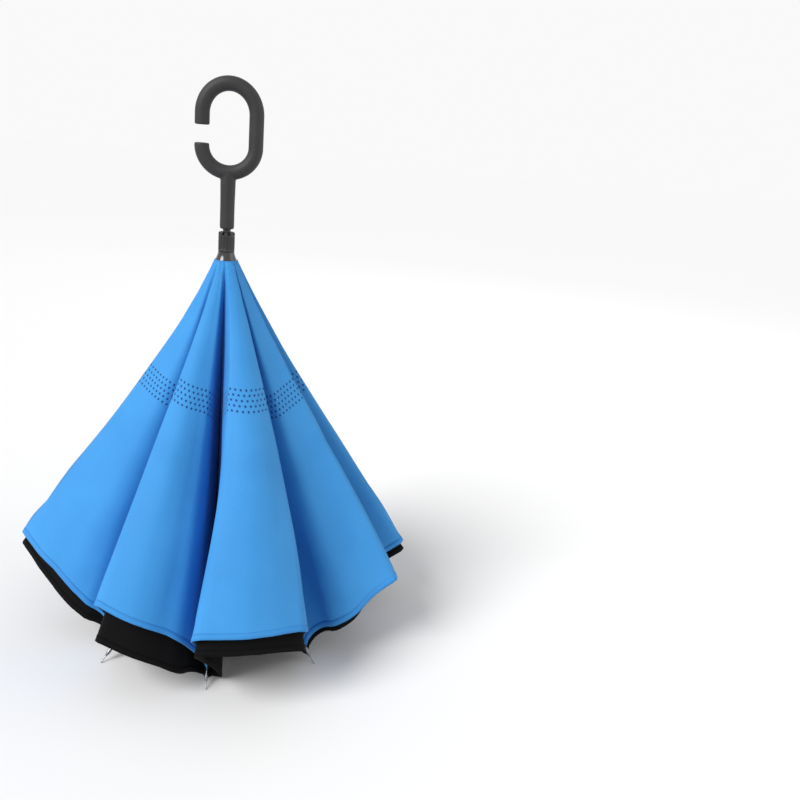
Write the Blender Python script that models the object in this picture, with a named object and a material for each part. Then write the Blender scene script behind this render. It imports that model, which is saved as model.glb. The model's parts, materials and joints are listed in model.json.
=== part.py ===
"""An inverted umbrella, standing closed on the ends of its ribs, handle up.

The ribs hang from the runner, just under the handle. Each stretcher is hinged to the notch at the
other end of the shaft and to a bracket on its rib. A stretcher is exactly as long as the rib's arm
from runner to bracket, so the runner stays on the shaft while the umbrella opens, and every angle
of the linkage follows the first one by a constant ratio. Lengths are in metres, +Z is up, and the
origin is on the floor, under the middle of the shaft.
"""

import math

import bmesh
import bpy
from mathutils import Matrix, Vector

# The whole umbrella
RIB_COUNT = 8
CLEARANCE = 0.0003

# The linkage
PIVOT_RING_RADIUS = 0.012
KNUCKLE_ALONG = 0.242
KNUCKLE_OFFSET = 0.0042
RIB_TILT_DEG = 8.0

# A rib: straight from its eye to the knuckle, then bent outwards
RIB_WIDTH = 0.0030
RIB_DEPTH = 0.0032
RIB_BEND_RADIUS = 0.4340
RIB_BENT_LENGTH = 0.2965
EYE_RADIUS = 0.0026
BRACKET_EYE_RADIUS = 0.0023
BRACKET_HALF_LENGTH = 0.0065
BRACKET_ROUND_DEG = 66.0
BRACKET_STEPS = 5
EYE_STEPS = 8
RIB_BEND_STEPS = 12

# The tip on the end of each rib
TIP_SOCKET_RADIUS = 0.0024
TIP_SOCKET_LENGTH = 0.0105
TIP_TAPER_LENGTH = 0.0035
TIP_PIN_RADIUS = 0.0008
TIP_PIN_LENGTH = 0.0100
TIP_SIDES = 8

# A stretcher, with a fork that straddles the bracket
STRETCHER_WIDTH = 0.0030
STRETCHER_DEPTH = 0.0036
FORK_CHEEK = 0.0012
FORK_END_RADIUS = 0.0025
FORK_SLOT_DEPTH = 0.0095
FORK_BASE_LENGTH = 0.0080
RIVET_RADIUS = 0.0008
RIVET_HEAD_RADIUS = 0.0016
RIVET_HEAD_HEIGHT = 0.0005
RIVET_SIDES = 10

# The two slotted hubs and the wire ring that each holds
WIRE_RADIUS = 0.0006
WIRE_SIDES = 6
HUB_HEIGHT = 0.0090
HUB_RIM = 0.0004
HUB_SIDES = 48

# The shaft and the ferrule on its lower end
SHAFT_RADIUS = 0.0050
SHAFT_SIDES = 24
FERRULE_RADIUS = 0.0068
FERRULE_TIP_RADIUS = 0.0042
FERRULE_LENGTH = 0.0220
FERRULE_TAPER = 0.0060
FERRULE_BORE_DEPTH = 0.0140

# The runner above its hub: a flared skirt, then a sleeve with a toothed top
SKIRT_HEIGHT = 0.0112
SKIRT_WALL = 0.0016
SKIRT_LIP = 0.0020
SKIRT_STEPS = 5
SKIRT_FLARE_POWER = 1.6
SLEEVE_RADIUS = 0.0105
SLEEVE_HEIGHT = 0.0250
SLEEVE_EDGE = 0.0006
TOOTH_DEPTH = 0.0030
TOOTH_GAP = 0.0034
TOOTH_COUNT = 8
FLUTE_WIDTH = 0.0022
FLUTE_DEPTH = 0.0006
RUNNER_SIDES = 32

# The handle: a straight stem that carries an open C
NECK_LENGTH = 0.0040
STEM_LENGTH = 0.0620
STEM_RADIUS = 0.0092
STEM_TOP_RADIUS = 0.0097
STEM_EDGE = 0.0022
STEM_SIDES = 24
HANDLE_BORE_DEPTH = 0.0420
GRIP_TUBE_RADIUS = 0.0093
GRIP_HALF_WIDTH = 0.0337
GRIP_TOP_HEIGHT = 0.0370
GRIP_FOOT_HEIGHT = 0.0325
GRIP_STRAIGHT = 0.0385
GRIP_MOUTH = 0.0219
GRIP_MOUTH_RISE = 0.0020
GRIP_EDGE = 0.0016
GRIP_EDGE_STEPS = 2
GRIP_SIDES = 16
GRIP_ARC_STEPS = 14

# The cloth: eight blue gores outside and eight black ones inside, each with two folds between its
# ribs. The share tables have one row for each gore and one column for each of its folds.
CLOTH_THICKNESS = 0.0008
CLOTH_TOP_RADIUS = 0.0145
CLOTH_RIB_LENGTH = 0.5180
FOLD_REACH_SHARE = 0.518
FOLD_DROP_SHARE = 0.797
FOLD_TOP_SHARES = (
    (0.22, 0.88),
    (0.26, 0.78),
    (0.22, 0.78),
    (0.22, 0.78),
    (0.22, 0.78),
    (0.22, 0.78),
    (0.22, 0.78),
    (0.22, 0.78),
)
FOLD_TURN_SHARES = (
    (-0.071, 0.630),
    (0.193, 0.521),
    (0.076, 0.559),
    (0.278, 0.780),
    (-0.039, 0.588),
    (0.143, 0.511),
    (0.066, 0.722),
    (0.297, 0.838),
)
FOLD_REACH_SHARES = (
    (0.935, 0.932),
    (0.784, 0.981),
    (0.983, 0.871),
    (0.915, 0.800),
    (0.945, 0.925),
    (0.810, 0.975),
    (0.958, 0.703),
    (0.895, 0.766),
)
FOLD_BOW_SHARES = (
    (0.33, 0.28),
    (0.33, 0.29),
    (0.20, 0.29),
    (0.33, 0.33),
    (0.33, 0.33),
    (0.33, 0.33),
    (0.33, 0.33),
    (0.33, 0.33),
)
FOLD_DROP_SHARES = (
    (0.986, 1.006),
    (1.108, 0.996),
    (1.003, 1.037),
    (0.955, 1.050),
    (0.985, 1.008),
    (1.080, 0.990),
    (0.955, 1.066),
    (0.951, 1.055),
)
FRONT_CROWN_SHARE = 0.05
EDGE_SLACK = 0.0180
LINING_GAP = 0.0032
LINING_DROP = 0.0160
LINING_DROP_SHARES = (
    (1.25, 1.38),
    (0.62, 0.31),
    (0.75, 1.25),
    (1.12, 1.62),
    (1.25, 1.12),
    (0.88, 0.75),
    (0.88, 1.38),
    (2.62, 2.50),
)
LINING_LONGER = 0.0120
FRONT_STEPS = 6
WALL_STEPS = 2
CLOTH_ROW_SHARES = (0.045, 0.15, 0.27, 0.40, 0.53, 0.68, 0.84, 1.0)
LINING_ROW_SHARES = CLOTH_ROW_SHARES[4:]

# How far a cutter runs past what it cuts
OVERRUN = 0.0010
# Points nearer than this are one point
WELD = 1e-6
# Edges sharper than these stay crisp
CRISP_DEG = 35.0
FLUTED_CRISP_DEG = 25.0

# Worked out from the sizes above
SECTOR = 2 * math.pi / RIB_COUNT
HALF_SECTOR = SECTOR / 2
FOLD_REACH = FOLD_REACH_SHARE * CLOTH_RIB_LENGTH
FOLD_DROP = FOLD_DROP_SHARE * CLOTH_RIB_LENGTH
RIB_TILT = math.radians(RIB_TILT_DEG)
ARM_LENGTH = math.hypot(KNUCKLE_ALONG, KNUCKLE_OFFSET)
ARM_TILT = RIB_TILT - math.atan2(KNUCKLE_OFFSET, KNUCKLE_ALONG)
RIB_LENGTH = KNUCKLE_ALONG + RIB_BENT_LENGTH
TIP_LENGTH = TIP_SOCKET_LENGTH + TIP_TAPER_LENGTH + TIP_PIN_LENGTH
WIRE_HOLE_RADIUS = WIRE_RADIUS + CLEARANCE
RIVET_HOLE_RADIUS = RIVET_RADIUS + CLEARANCE
FORK_HALF_SLOT = RIB_WIDTH / 2 + CLEARANCE
FORK_HALF_WIDTH = FORK_HALF_SLOT + FORK_CHEEK
HUB_RADIUS = PIVOT_RING_RADIUS / math.cos(HALF_SECTOR) + WIRE_RADIUS + HUB_RIM
BORE_RADIUS = SHAFT_RADIUS + CLEARANCE


def rib_point(along, outwards=0.0):
    """(radius, height) of a point of a rib, both counted from its runner pivot."""
    straight = min(along, KNUCKLE_ALONG)
    bend = max(along - KNUCKLE_ALONG, 0.0) / RIB_BEND_RADIUS
    tilt = RIB_TILT + bend
    radius = straight * math.sin(RIB_TILT)
    radius += RIB_BEND_RADIUS * (math.cos(RIB_TILT) - math.cos(tilt))
    height = -straight * math.cos(RIB_TILT)
    height -= RIB_BEND_RADIUS * (math.sin(tilt) - math.sin(RIB_TILT))
    return radius + outwards * math.cos(tilt), height + outwards * math.sin(tilt)


def rib_tilt(along):
    """How far the rib leans outwards there, in radians."""
    return RIB_TILT + max(along - KNUCKLE_ALONG, 0.0) / RIB_BEND_RADIUS


def runner_pivot_height():
    """The height that puts the lowest edge of each pin on the floor."""
    tilt = rib_tilt(RIB_LENGTH)
    drop = -rib_point(RIB_LENGTH)[1]
    drop += (CLEARANCE + TIP_LENGTH) * math.cos(tilt)
    return drop + TIP_PIN_RADIUS * math.sin(tilt)


RUNNER_PIVOT_Z = runner_pivot_height()
NOTCH_PIVOT_Z = RUNNER_PIVOT_Z - 2 * ARM_LENGTH * math.cos(ARM_TILT)
SKIRT_Z = RUNNER_PIVOT_Z + HUB_HEIGHT / 2 + CLEARANCE
SLEEVE_Z = SKIRT_Z + SKIRT_HEIGHT + CLEARANCE
STEM_Z = SLEEVE_Z + SLEEVE_HEIGHT + NECK_LENGTH
GRIP_Z = STEM_Z + STEM_LENGTH
FERRULE_TOP_Z = NOTCH_PIVOT_Z - HUB_HEIGHT / 2 - CLEARANCE


def clear_scene():
    """Takes away whatever the file opened with."""
    for obj in list(bpy.data.objects):
        bpy.data.objects.remove(obj, do_unlink=True)


def finish(name, colour, roughness, metallic=0.0):
    """A Principled material."""
    material = bpy.data.materials.new(name)
    material.use_nodes = True
    shader = material.node_tree.nodes["Principled BSDF"]
    shader.inputs["Base Color"].default_value = (*colour, 1.0)
    shader.inputs["Roughness"].default_value = roughness
    shader.inputs["Metallic"].default_value = metallic
    material.diffuse_color = (*colour, 1.0)
    return material


def linked(name, data, material=None):
    """A new object in the scene."""
    obj = bpy.data.objects.new(name, data)
    bpy.context.scene.collection.objects.link(obj)
    if material is not None and not data.materials:
        data.materials.append(material)
    return obj


def put(obj, matrix, parent=None):
    """Places an object in the world and hangs it from its parent without moving it."""
    if parent is not None:
        obj.parent = parent
        obj.matrix_parent_inverse = parent.matrix_world.inverted()
    obj.matrix_basis = matrix
    return obj


def joint_empty(name, place, parent=None):
    """An empty on a joint's axis."""
    empty = linked(name, None)
    put(empty, Matrix.Translation(place), parent)
    bpy.context.view_layer.update()
    return empty


def mesh_from(name, bm):
    """A mesh of the bmesh, with its faces pointing out."""
    bmesh.ops.remove_doubles(bm, verts=bm.verts, dist=WELD)
    bmesh.ops.recalc_face_normals(bm, faces=bm.faces)
    mesh = bpy.data.meshes.new(name)
    bm.to_mesh(mesh)
    bm.free()
    return mesh


def smooth(mesh, degrees=CRISP_DEG):
    """Smooth shading, with the edges sharper than this kept crisp."""
    mesh.shade_smooth()
    mesh.set_sharp_from_angle(angle=math.radians(degrees))
    return mesh


def turned(name, profile, sides):
    """A solid turned round Z from a closed or axis-to-axis profile of (radius, height)."""
    bm = bmesh.new()
    points = [bm.verts.new((radius, 0.0, height)) for radius, height in profile]
    closed = profile[0][0] > 0.0
    pairs = list(zip(points, points[1:]))
    if closed:
        pairs.append((points[-1], points[0]))
    edges = [bm.edges.new(pair) for pair in pairs]
    bmesh.ops.spin(
        bm,
        geom=points + edges,
        cent=(0.0, 0.0, 0.0),
        axis=(0.0, 0.0, 1.0),
        angle=2 * math.pi,
        steps=sides,
    )
    return mesh_from(name, bm)


def plate(name, outline, holes, thickness):
    """A flat plate in the XY plane, with round holes given as (x, y, radius, sides)."""
    curve = bpy.data.curves.new(name, "CURVE")
    curve.dimensions = "2D"
    curve.fill_mode = "BOTH"
    curve.extrude = thickness / 2
    rings = [outline]
    for x, y, radius, sides in holes:
        turns = [2 * math.pi * i / sides for i in range(sides)]
        rings.append([(x + radius * math.cos(a), y + radius * math.sin(a)) for a in turns])
    for ring in rings:
        spline = curve.splines.new("POLY")
        spline.points.add(len(ring) - 1)
        for point, (x, y) in zip(spline.points, ring):
            point.co = (x, y, 0.0, 1.0)
        spline.use_cyclic_u = True
    return baked(linked(name, curve), name)


def baked(obj, name, helpers=()):
    """The mesh that an object's modifiers give, with the object and its helpers taken away."""
    bpy.context.view_layer.update()
    graph = bpy.context.evaluated_depsgraph_get()
    bm = bmesh.new()
    mesh = bpy.data.meshes.new_from_object(obj.evaluated_get(graph))
    bm.from_mesh(mesh)
    bpy.data.meshes.remove(mesh)
    for old in (obj, *helpers):
        bpy.data.objects.remove(old, do_unlink=True)
    return mesh_from(name, bm)


def combined(name, base, steps):
    """A mesh joined with, or cut by, other meshes in turn: steps are (operation, mesh)."""
    obj = linked(name, base)
    helpers = []
    for operation, mesh in steps:
        helper = linked(name + "_helper", mesh)
        helper.hide_render = True
        helper.display_type = "WIRE"
        modifier = obj.modifiers.new(operation.title(), "BOOLEAN")
        modifier.operation = operation
        modifier.object = helper
        helpers.append(helper)
    return baked(obj, name, helpers)


def boxes(name, low, high, turns):
    """One mesh of equal boxes, each turned round Z by an angle of turns."""
    bm = bmesh.new()
    size = Vector(high) - Vector(low)
    middle = (Vector(high) + Vector(low)) / 2
    for turn in turns:
        matrix = Matrix.Rotation(turn, 4, "Z") @ Matrix.Translation(middle)
        bmesh.ops.create_cube(bm, size=1.0, matrix=matrix @ Matrix.Diagonal((*size, 1.0)))
    return mesh_from(name, bm)


def turns_of(count, start=0.0):
    """Equal turns round the shaft."""
    return [start + 2 * math.pi * i / count for i in range(count)]


def upright(azimuth, radius, height):
    """The matrix of a plate that stands in a rib's plane: its X points outwards and its Y up."""
    out = Vector((math.cos(azimuth), math.sin(azimuth), 0.0))
    up = Vector((0.0, 0.0, 1.0))
    matrix = Matrix((out, up, out.cross(up))).transposed().to_4x4()
    matrix.translation = out * radius + up * height
    return matrix


def swept(name, path, radius, sides, edge):
    """A round bar along a path in the XZ plane, with rounded ends."""
    tangents = [b - a for a, b in zip([path[0]] + path[:-1], path[1:] + [path[-1]])]
    rings = []
    for place, tangent in zip(path, tangents):
        rings.append((place, tangent.normalized(), radius))
    for at, sign in ((0, 1), (-1, -1)):
        place, tangent, _ = rings[at]
        caps = []
        for i in range(GRIP_EDGE_STEPS + 1):
            angle = math.pi / 2 * (1 - i / GRIP_EDGE_STEPS)
            inset = edge * (1 - math.cos(angle))
            along = edge * (1 - math.sin(angle))
            caps.append((place + sign * along * tangent, tangent, radius - inset))
        rings = caps + rings[1:] if at == 0 else rings[:-1] + caps[::-1]
    bm = bmesh.new()
    loops = []
    side = Vector((0.0, 1.0, 0.0))
    for place, tangent, reach in rings:
        across = tangent.cross(side)
        loop = []
        for i in range(sides):
            angle = 2 * math.pi * (i + 0.5) / sides
            loop.append(
                bm.verts.new(place + reach * (math.cos(angle) * across + math.sin(angle) * side))
            )
        loops.append(loop)
    for a, b in zip(loops, loops[1:]):
        for i in range(sides):
            j = (i + 1) % sides
            bm.faces.new((a[i], a[j], b[j], b[i]))
    bm.faces.new(loops[0])
    bm.faces.new(loops[-1])
    return mesh_from(name, bm)


def grip_path():
    """The middle of the C, from its upper end over the top and round to its lower end."""
    low = GRIP_Z + GRIP_TUBE_RADIUS + GRIP_FOOT_HEIGHT
    high = low + GRIP_STRAIGHT
    mouth = low + GRIP_MOUTH_RISE
    path = [Vector((-GRIP_HALF_WIDTH, 0.0, mouth + GRIP_MOUTH))]
    for middle, height, start in ((high, GRIP_TOP_HEIGHT, math.pi), (low, GRIP_FOOT_HEIGHT, 0.0)):
        for i in range(GRIP_ARC_STEPS + 1):
            angle = start - math.pi * i / GRIP_ARC_STEPS
            x = GRIP_HALF_WIDTH * math.cos(angle)
            z = middle + height * math.sin(angle)
            path.append(Vector((x, 0.0, z)))
    path.append(Vector((-GRIP_HALF_WIDTH, 0.0, mouth)))
    return path


def handle_mesh():
    """The C and its stem, moulded in one, with a blind hole for the shaft."""
    grip = swept("grip", grip_path(), GRIP_TUBE_RADIUS, GRIP_SIDES, GRIP_EDGE)
    top = GRIP_Z + GRIP_TUBE_RADIUS
    cut = STEM_EDGE * (1 - math.cos(math.pi / 4))
    stem_profile = [
        (0.0, top),
        (STEM_TOP_RADIUS, top),
        (STEM_TOP_RADIUS, GRIP_Z - STEM_EDGE),
        (STEM_RADIUS, GRIP_Z - STEM_LENGTH / 2),
        (STEM_RADIUS, STEM_Z + STEM_EDGE),
        (STEM_RADIUS - cut, STEM_Z + cut),
        (STEM_RADIUS - STEM_EDGE, STEM_Z),
        (0.0, STEM_Z),
    ]
    stem = turned("stem", stem_profile, STEM_SIDES)
    bore_profile = [
        (0.0, STEM_Z + HANDLE_BORE_DEPTH),
        (BORE_RADIUS, STEM_Z + HANDLE_BORE_DEPTH),
        (BORE_RADIUS, STEM_Z - OVERRUN),
        (0.0, STEM_Z - OVERRUN),
    ]
    bore = turned("bore", bore_profile, SHAFT_SIDES)
    return smooth(combined("handle", grip, [("UNION", stem), ("DIFFERENCE", bore)]))


def shaft_mesh():
    """The rod from the ferrule's hole to the handle's."""
    low = FERRULE_TOP_Z - FERRULE_BORE_DEPTH + CLEARANCE
    high = STEM_Z + HANDLE_BORE_DEPTH - CLEARANCE
    profile = [(0.0, high), (SHAFT_RADIUS, high), (SHAFT_RADIUS, low), (0.0, low)]
    return smooth(turned("shaft", profile, SHAFT_SIDES))


def ferrule_mesh():
    """The cap on the shaft's lower end, with a blind hole for it."""
    low = FERRULE_TOP_Z - FERRULE_LENGTH
    bore_end = FERRULE_TOP_Z - FERRULE_BORE_DEPTH
    profile = [
        (0.0, bore_end),
        (BORE_RADIUS, bore_end),
        (BORE_RADIUS, FERRULE_TOP_Z),
        (FERRULE_RADIUS, FERRULE_TOP_Z),
        (FERRULE_RADIUS, low + FERRULE_TAPER),
        ((FERRULE_RADIUS + FERRULE_TIP_RADIUS) / 2, low + FERRULE_TAPER / 4),
        (FERRULE_TIP_RADIUS, low),
        (0.0, low),
    ]
    return smooth(turned("ferrule", profile, SHAFT_SIDES))


def hub_mesh():
    """A slotted ring, centred on its pivots, with a groove round it for the wire."""
    half = HUB_HEIGHT / 2
    ring = turned(
        "ring",
        [(BORE_RADIUS, half), (HUB_RADIUS, half), (HUB_RADIUS, -half), (BORE_RADIUS, -half)],
        HUB_SIDES,
    )
    inner = PIVOT_RING_RADIUS - EYE_RADIUS - CLEARANCE
    outer = HUB_RADIUS + OVERRUN
    half_slot = RIB_WIDTH / 2 + CLEARANCE
    slots = boxes(
        "slots",
        (inner, -half_slot, -half - OVERRUN),
        (outer, half_slot, half + OVERRUN),
        turns_of(RIB_COUNT),
    )
    groove_inner = PIVOT_RING_RADIUS - WIRE_HOLE_RADIUS
    groove = turned(
        "groove",
        [
            (groove_inner, WIRE_HOLE_RADIUS),
            (outer, WIRE_HOLE_RADIUS),
            (outer, -WIRE_HOLE_RADIUS),
            (groove_inner, -WIRE_HOLE_RADIUS),
        ],
        HUB_SIDES,
    )
    return smooth(combined("hub", ring, [("DIFFERENCE", slots), ("DIFFERENCE", groove)]))


def wire_mesh():
    """The ring of wire through a hub, with one straight side for each pivot."""
    bm = bmesh.new()
    loops = []
    for corner in turns_of(RIB_COUNT, HALF_SECTOR):
        out = Vector((math.cos(corner), math.sin(corner), 0.0))
        loop = []
        for i in range(WIRE_SIDES):
            angle = 2 * math.pi * i / WIRE_SIDES
            reach = (PIVOT_RING_RADIUS + WIRE_RADIUS * math.cos(angle)) / math.cos(HALF_SECTOR)
            height = Vector((0.0, 0.0, WIRE_RADIUS * math.sin(angle)))
            loop.append(bm.verts.new(out * reach + height))
        loops.append(loop)
    for a, b in zip(loops, loops[1:] + loops[:1]):
        for i in range(WIRE_SIDES):
            j = (i + 1) % WIRE_SIDES
            bm.faces.new((a[i], a[j], b[j], b[i]))
    return smooth(mesh_from("wire", bm))


def skirt_mesh():
    """The flared cap over the runner's hub."""
    low_radius = HUB_RADIUS + CLEARANCE
    high_radius = SLEEVE_RADIUS
    outer = []
    for i in range(SKIRT_STEPS + 1):
        share = i / SKIRT_STEPS
        radius = high_radius + (low_radius - high_radius) * share**SKIRT_FLARE_POWER
        outer.append((radius, SKIRT_Z + SKIRT_HEIGHT * (1 - share)))
    lip = SKIRT_Z + SKIRT_LIP
    profile = [(BORE_RADIUS, SKIRT_Z + SKIRT_HEIGHT), *outer]
    profile += [(low_radius - SKIRT_WALL, SKIRT_Z), (low_radius - SKIRT_WALL, lip), (BORE_RADIUS, lip)]
    return smooth(turned("skirt", profile, RUNNER_SIDES))


def sleeve_mesh():
    """The runner's sleeve, with teeth round its top and flutes down its side."""
    high = SLEEVE_Z + SLEEVE_HEIGHT
    profile = [
        (BORE_RADIUS, high),
        (SLEEVE_RADIUS - SLEEVE_EDGE, high),
        (SLEEVE_RADIUS, high - SLEEVE_EDGE),
        (SLEEVE_RADIUS, SLEEVE_Z),
        (BORE_RADIUS, SLEEVE_Z),
    ]
    body = turned("body", profile, RUNNER_SIDES)
    middle = (BORE_RADIUS + SLEEVE_RADIUS) / 2
    gaps = boxes(
        "gaps",
        (middle, -TOOTH_GAP / 2, high - TOOTH_DEPTH),
        (SLEEVE_RADIUS + OVERRUN, TOOTH_GAP / 2, high + OVERRUN),
        turns_of(TOOTH_COUNT),
    )
    flutes = boxes(
        "flutes",
        (SLEEVE_RADIUS - FLUTE_DEPTH, -FLUTE_WIDTH / 2, SLEEVE_Z + TOOTH_DEPTH),
        (SLEEVE_RADIUS + OVERRUN, FLUTE_WIDTH / 2, high - 2 * TOOTH_DEPTH),
        turns_of(TOOTH_COUNT, math.pi / TOOTH_COUNT),
    )
    return smooth(combined("sleeve", body, [("DIFFERENCE", gaps), ("DIFFERENCE", flutes)]), FLUTED_CRISP_DEG)


def round_end(middle, forward, radius, half_depth):
    """Points round the end of a bar that comes from forward and is half_depth deep each side."""
    side = Vector((-forward.y, forward.x))
    start = math.asin(min(half_depth / radius, 1.0))
    points = []
    for i in range(EYE_STEPS + 1):
        angle = start + (2 * math.pi - 2 * start) * i / EYE_STEPS
        points.append(middle + radius * (math.cos(angle) * forward + math.sin(angle) * side))
    return points


def rib_mesh():
    """A rib, as a bar with its eye, its bracket and its bend, in the plane that it moves in."""
    half = RIB_DEPTH / 2
    down = Vector((math.sin(RIB_TILT), -math.cos(RIB_TILT)))
    inwards = Vector((-math.cos(RIB_TILT), -math.sin(RIB_TILT)))
    outline = round_end(Vector((0.0, 0.0)), down, EYE_RADIUS, half)
    outline.append(Vector(rib_point(KNUCKLE_ALONG - BRACKET_HALF_LENGTH, -half)))
    pin = Vector(rib_point(KNUCKLE_ALONG)) + inwards * KNUCKLE_OFFSET
    for i in range(BRACKET_STEPS + 1):
        angle = math.radians(BRACKET_ROUND_DEG) * (2 * i / BRACKET_STEPS - 1)
        outline.append(
            pin + BRACKET_EYE_RADIUS * (math.cos(angle) * inwards + math.sin(angle) * down)
        )
    first_bent = BRACKET_HALF_LENGTH
    stretch = RIB_BENT_LENGTH - first_bent
    alongs = [
        KNUCKLE_ALONG + first_bent + stretch * i / RIB_BEND_STEPS for i in range(RIB_BEND_STEPS + 1)
    ]
    outline += [Vector(rib_point(along, -half)) for along in alongs]
    outline += [Vector(rib_point(along, half)) for along in reversed(alongs)]
    outline.append(Vector(rib_point(KNUCKLE_ALONG, half)))
    holes = [
        (0.0, 0.0, WIRE_HOLE_RADIUS / math.cos(math.pi / RIVET_SIDES), RIVET_SIDES),
        (pin.x, pin.y, RIVET_HOLE_RADIUS / math.cos(math.pi / RIVET_SIDES), RIVET_SIDES),
    ]
    return smooth(plate("rib", outline, holes, RIB_WIDTH))


def stretcher_mesh():
    """A stretcher along +Y from the notch pivot, with an eye below and a fork above."""
    half = STRETCHER_DEPTH / 2
    up = Vector((0.0, 1.0))
    base = ARM_LENGTH - FORK_SLOT_DEPTH - FORK_BASE_LENGTH
    bar_end = base + FORK_BASE_LENGTH / 2
    bar = round_end(Vector((0.0, 0.0)), up, EYE_RADIUS, half)
    bar += [Vector((half, bar_end)), Vector((-half, bar_end))]
    hole = (0.0, 0.0, WIRE_HOLE_RADIUS / math.cos(math.pi / RIVET_SIDES), RIVET_SIDES)
    blade = plate("blade", bar, [hole], STRETCHER_WIDTH)
    pin = Vector((0.0, ARM_LENGTH))
    fork = round_end(pin, -up, FORK_END_RADIUS, half)
    fork += [Vector((-half, base)), Vector((half, base))]
    hole = (pin.x, pin.y, RIVET_HOLE_RADIUS / math.cos(math.pi / RIVET_SIDES), RIVET_SIDES)
    cheeks = plate("cheeks", fork, [hole], 2 * FORK_HALF_WIDTH)
    reach = FORK_END_RADIUS + OVERRUN
    slot = boxes(
        "slot",
        (-reach, ARM_LENGTH - FORK_SLOT_DEPTH, -FORK_HALF_SLOT),
        (reach, ARM_LENGTH + reach, FORK_HALF_SLOT),
        [0.0],
    )
    slotted = combined("slotted", cheeks, [("DIFFERENCE", slot)])
    return smooth(combined("stretcher", blade, [("UNION", slotted)]))


def rivet_mesh():
    """The rivet through a fork and its bracket, with a head at each end."""
    body = FORK_HALF_WIDTH + CLEARANCE
    end = body + RIVET_HEAD_HEIGHT
    profile = [
        (0.0, end),
        (RIVET_HEAD_RADIUS, end),
        (RIVET_HEAD_RADIUS, body),
        (RIVET_RADIUS, body),
        (RIVET_RADIUS, -body),
        (RIVET_HEAD_RADIUS, -body),
        (RIVET_HEAD_RADIUS, -end),
        (0.0, -end),
    ]
    return smooth(turned("rivet", profile, RIVET_SIDES))


def tip_mesh():
    """The tip, from the rib's end along -Z: a socket, a taper and a thin pin."""
    taper = -TIP_SOCKET_LENGTH
    pin = taper - TIP_TAPER_LENGTH
    profile = [
        (0.0, 0.0),
        (TIP_SOCKET_RADIUS, 0.0),
        (TIP_SOCKET_RADIUS, taper),
        (TIP_PIN_RADIUS, pin),
        (TIP_PIN_RADIUS, -TIP_LENGTH),
        (0.0, -TIP_LENGTH),
    ]
    return smooth(turned("tip", profile, TIP_SIDES))


def fold_point(gore, side, share):
    """A point of one of a blue gore's folds."""
    top = FOLD_TOP_SHARES[gore][side]
    turn = top + (FOLD_TURN_SHARES[gore][side] - top) * share
    reach = share - FOLD_BOW_SHARES[gore][side] * share * (1 - share) ** 2
    radius = CLOTH_TOP_RADIUS + FOLD_REACH * FOLD_REACH_SHARES[gore][side] * reach
    angle = (turn - 0.5) * SECTOR
    height = SKIRT_Z + CLOTH_THICKNESS - FOLD_DROP * FOLD_DROP_SHARES[gore][side] * share
    return Vector((radius * math.cos(angle), radius * math.sin(angle), height))


def moved_in(before, corner, after, depth):
    """The corner of two lines after both move inwards by depth, seen from above."""
    normals = []
    for start, end in ((before, corner), (corner, after)):
        line = (end - start).xy.normalized()
        normals.append(Vector((-line.y, line.x, 0.0)))
    both = normals[0] + normals[1]
    return corner + depth * both / (1 + normals[0].dot(normals[1]))


def gore_edge(side, share, inset, longer=0.0):
    """Where a gore meets its rib: beside the rib, and slack between its two ends."""
    along = (CLOTH_RIB_LENGTH + longer) * share
    radius, height = rib_point(along)
    radius += PIVOT_RING_RADIUS + EDGE_SLACK * math.sin(math.pi * share)
    x = radius * math.cos(HALF_SECTOR) + inset * math.sin(HALF_SECTOR)
    y = radius * math.sin(HALF_SECTOR) - inset * math.cos(HALF_SECTOR)
    return Vector((x, y if side == 1 else -y, RUNNER_PIVOT_Z + height))


def gore_row(gore, share, inset, depth=0.0, longer=0.0, drop=0.0):
    """Points across a gore: from one rib out to a fold, over the front and back to the next rib."""
    start, end = (gore_edge(side, share, inset, longer) for side in (0, 1))
    outer = [fold_point(gore, side, share) for side in (0, 1)]
    first = moved_in(start, outer[0], outer[1], depth)
    last = moved_in(outer[0], outer[1], end, depth)
    first.z -= drop * LINING_DROP_SHARES[gore][0]
    last.z -= drop * LINING_DROP_SHARES[gore][1]
    row = [start.lerp(first, i / WALL_STEPS) for i in range(WALL_STEPS)]
    chord = last - first
    out = Vector((chord.y, -chord.x, 0.0)).normalized()
    for i in range(FRONT_STEPS + 1):
        across = i / FRONT_STEPS
        crown = FRONT_CROWN_SHARE * chord.length * 4 * across * (1 - across)
        row.append(first.lerp(last, across) + crown * out)
    row += [last.lerp(end, i / WALL_STEPS) for i in range(1, WALL_STEPS + 1)]
    return row


def sheet_solid(name, rows):
    """A thin closed solid round a sheet given as rows of points."""
    bm = bmesh.new()
    grid = [[bm.verts.new(point) for point in row] for row in rows]
    for a, b in zip(grid, grid[1:]):
        for i in range(len(a) - 1):
            bm.faces.new((a[i], a[i + 1], b[i + 1], b[i]))
    obj = linked(name, mesh_from(name, bm))
    solidify = obj.modifiers.new("Cloth", "SOLIDIFY")
    solidify.thickness = CLOTH_THICKNESS
    solidify.offset = 0.0
    solidify.use_even_offset = True
    return smooth(baked(obj, name))


def canopy_mesh(gore):
    """A blue gore, from just under the runner to its hem."""
    inset = RIB_WIDTH / 2 + CLEARANCE + CLOTH_THICKNESS / 2
    rows = [gore_row(gore, share, inset) for share in CLOTH_ROW_SHARES]
    return sheet_solid("canopy", rows)


def lining_mesh(gore):
    """A black gore, inside the blue one from the knuckles down, with a lower hem."""
    inset = RIB_WIDTH / 2 + 3 * CLEARANCE + 3 * CLOTH_THICKNESS / 2
    rows = [gore_row(gore, share, inset, LINING_GAP) for share in LINING_ROW_SHARES]
    rows.append(gore_row(gore, 1.0, inset, LINING_GAP, LINING_LONGER, LINING_DROP))
    return sheet_solid("lining", rows)


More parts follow.
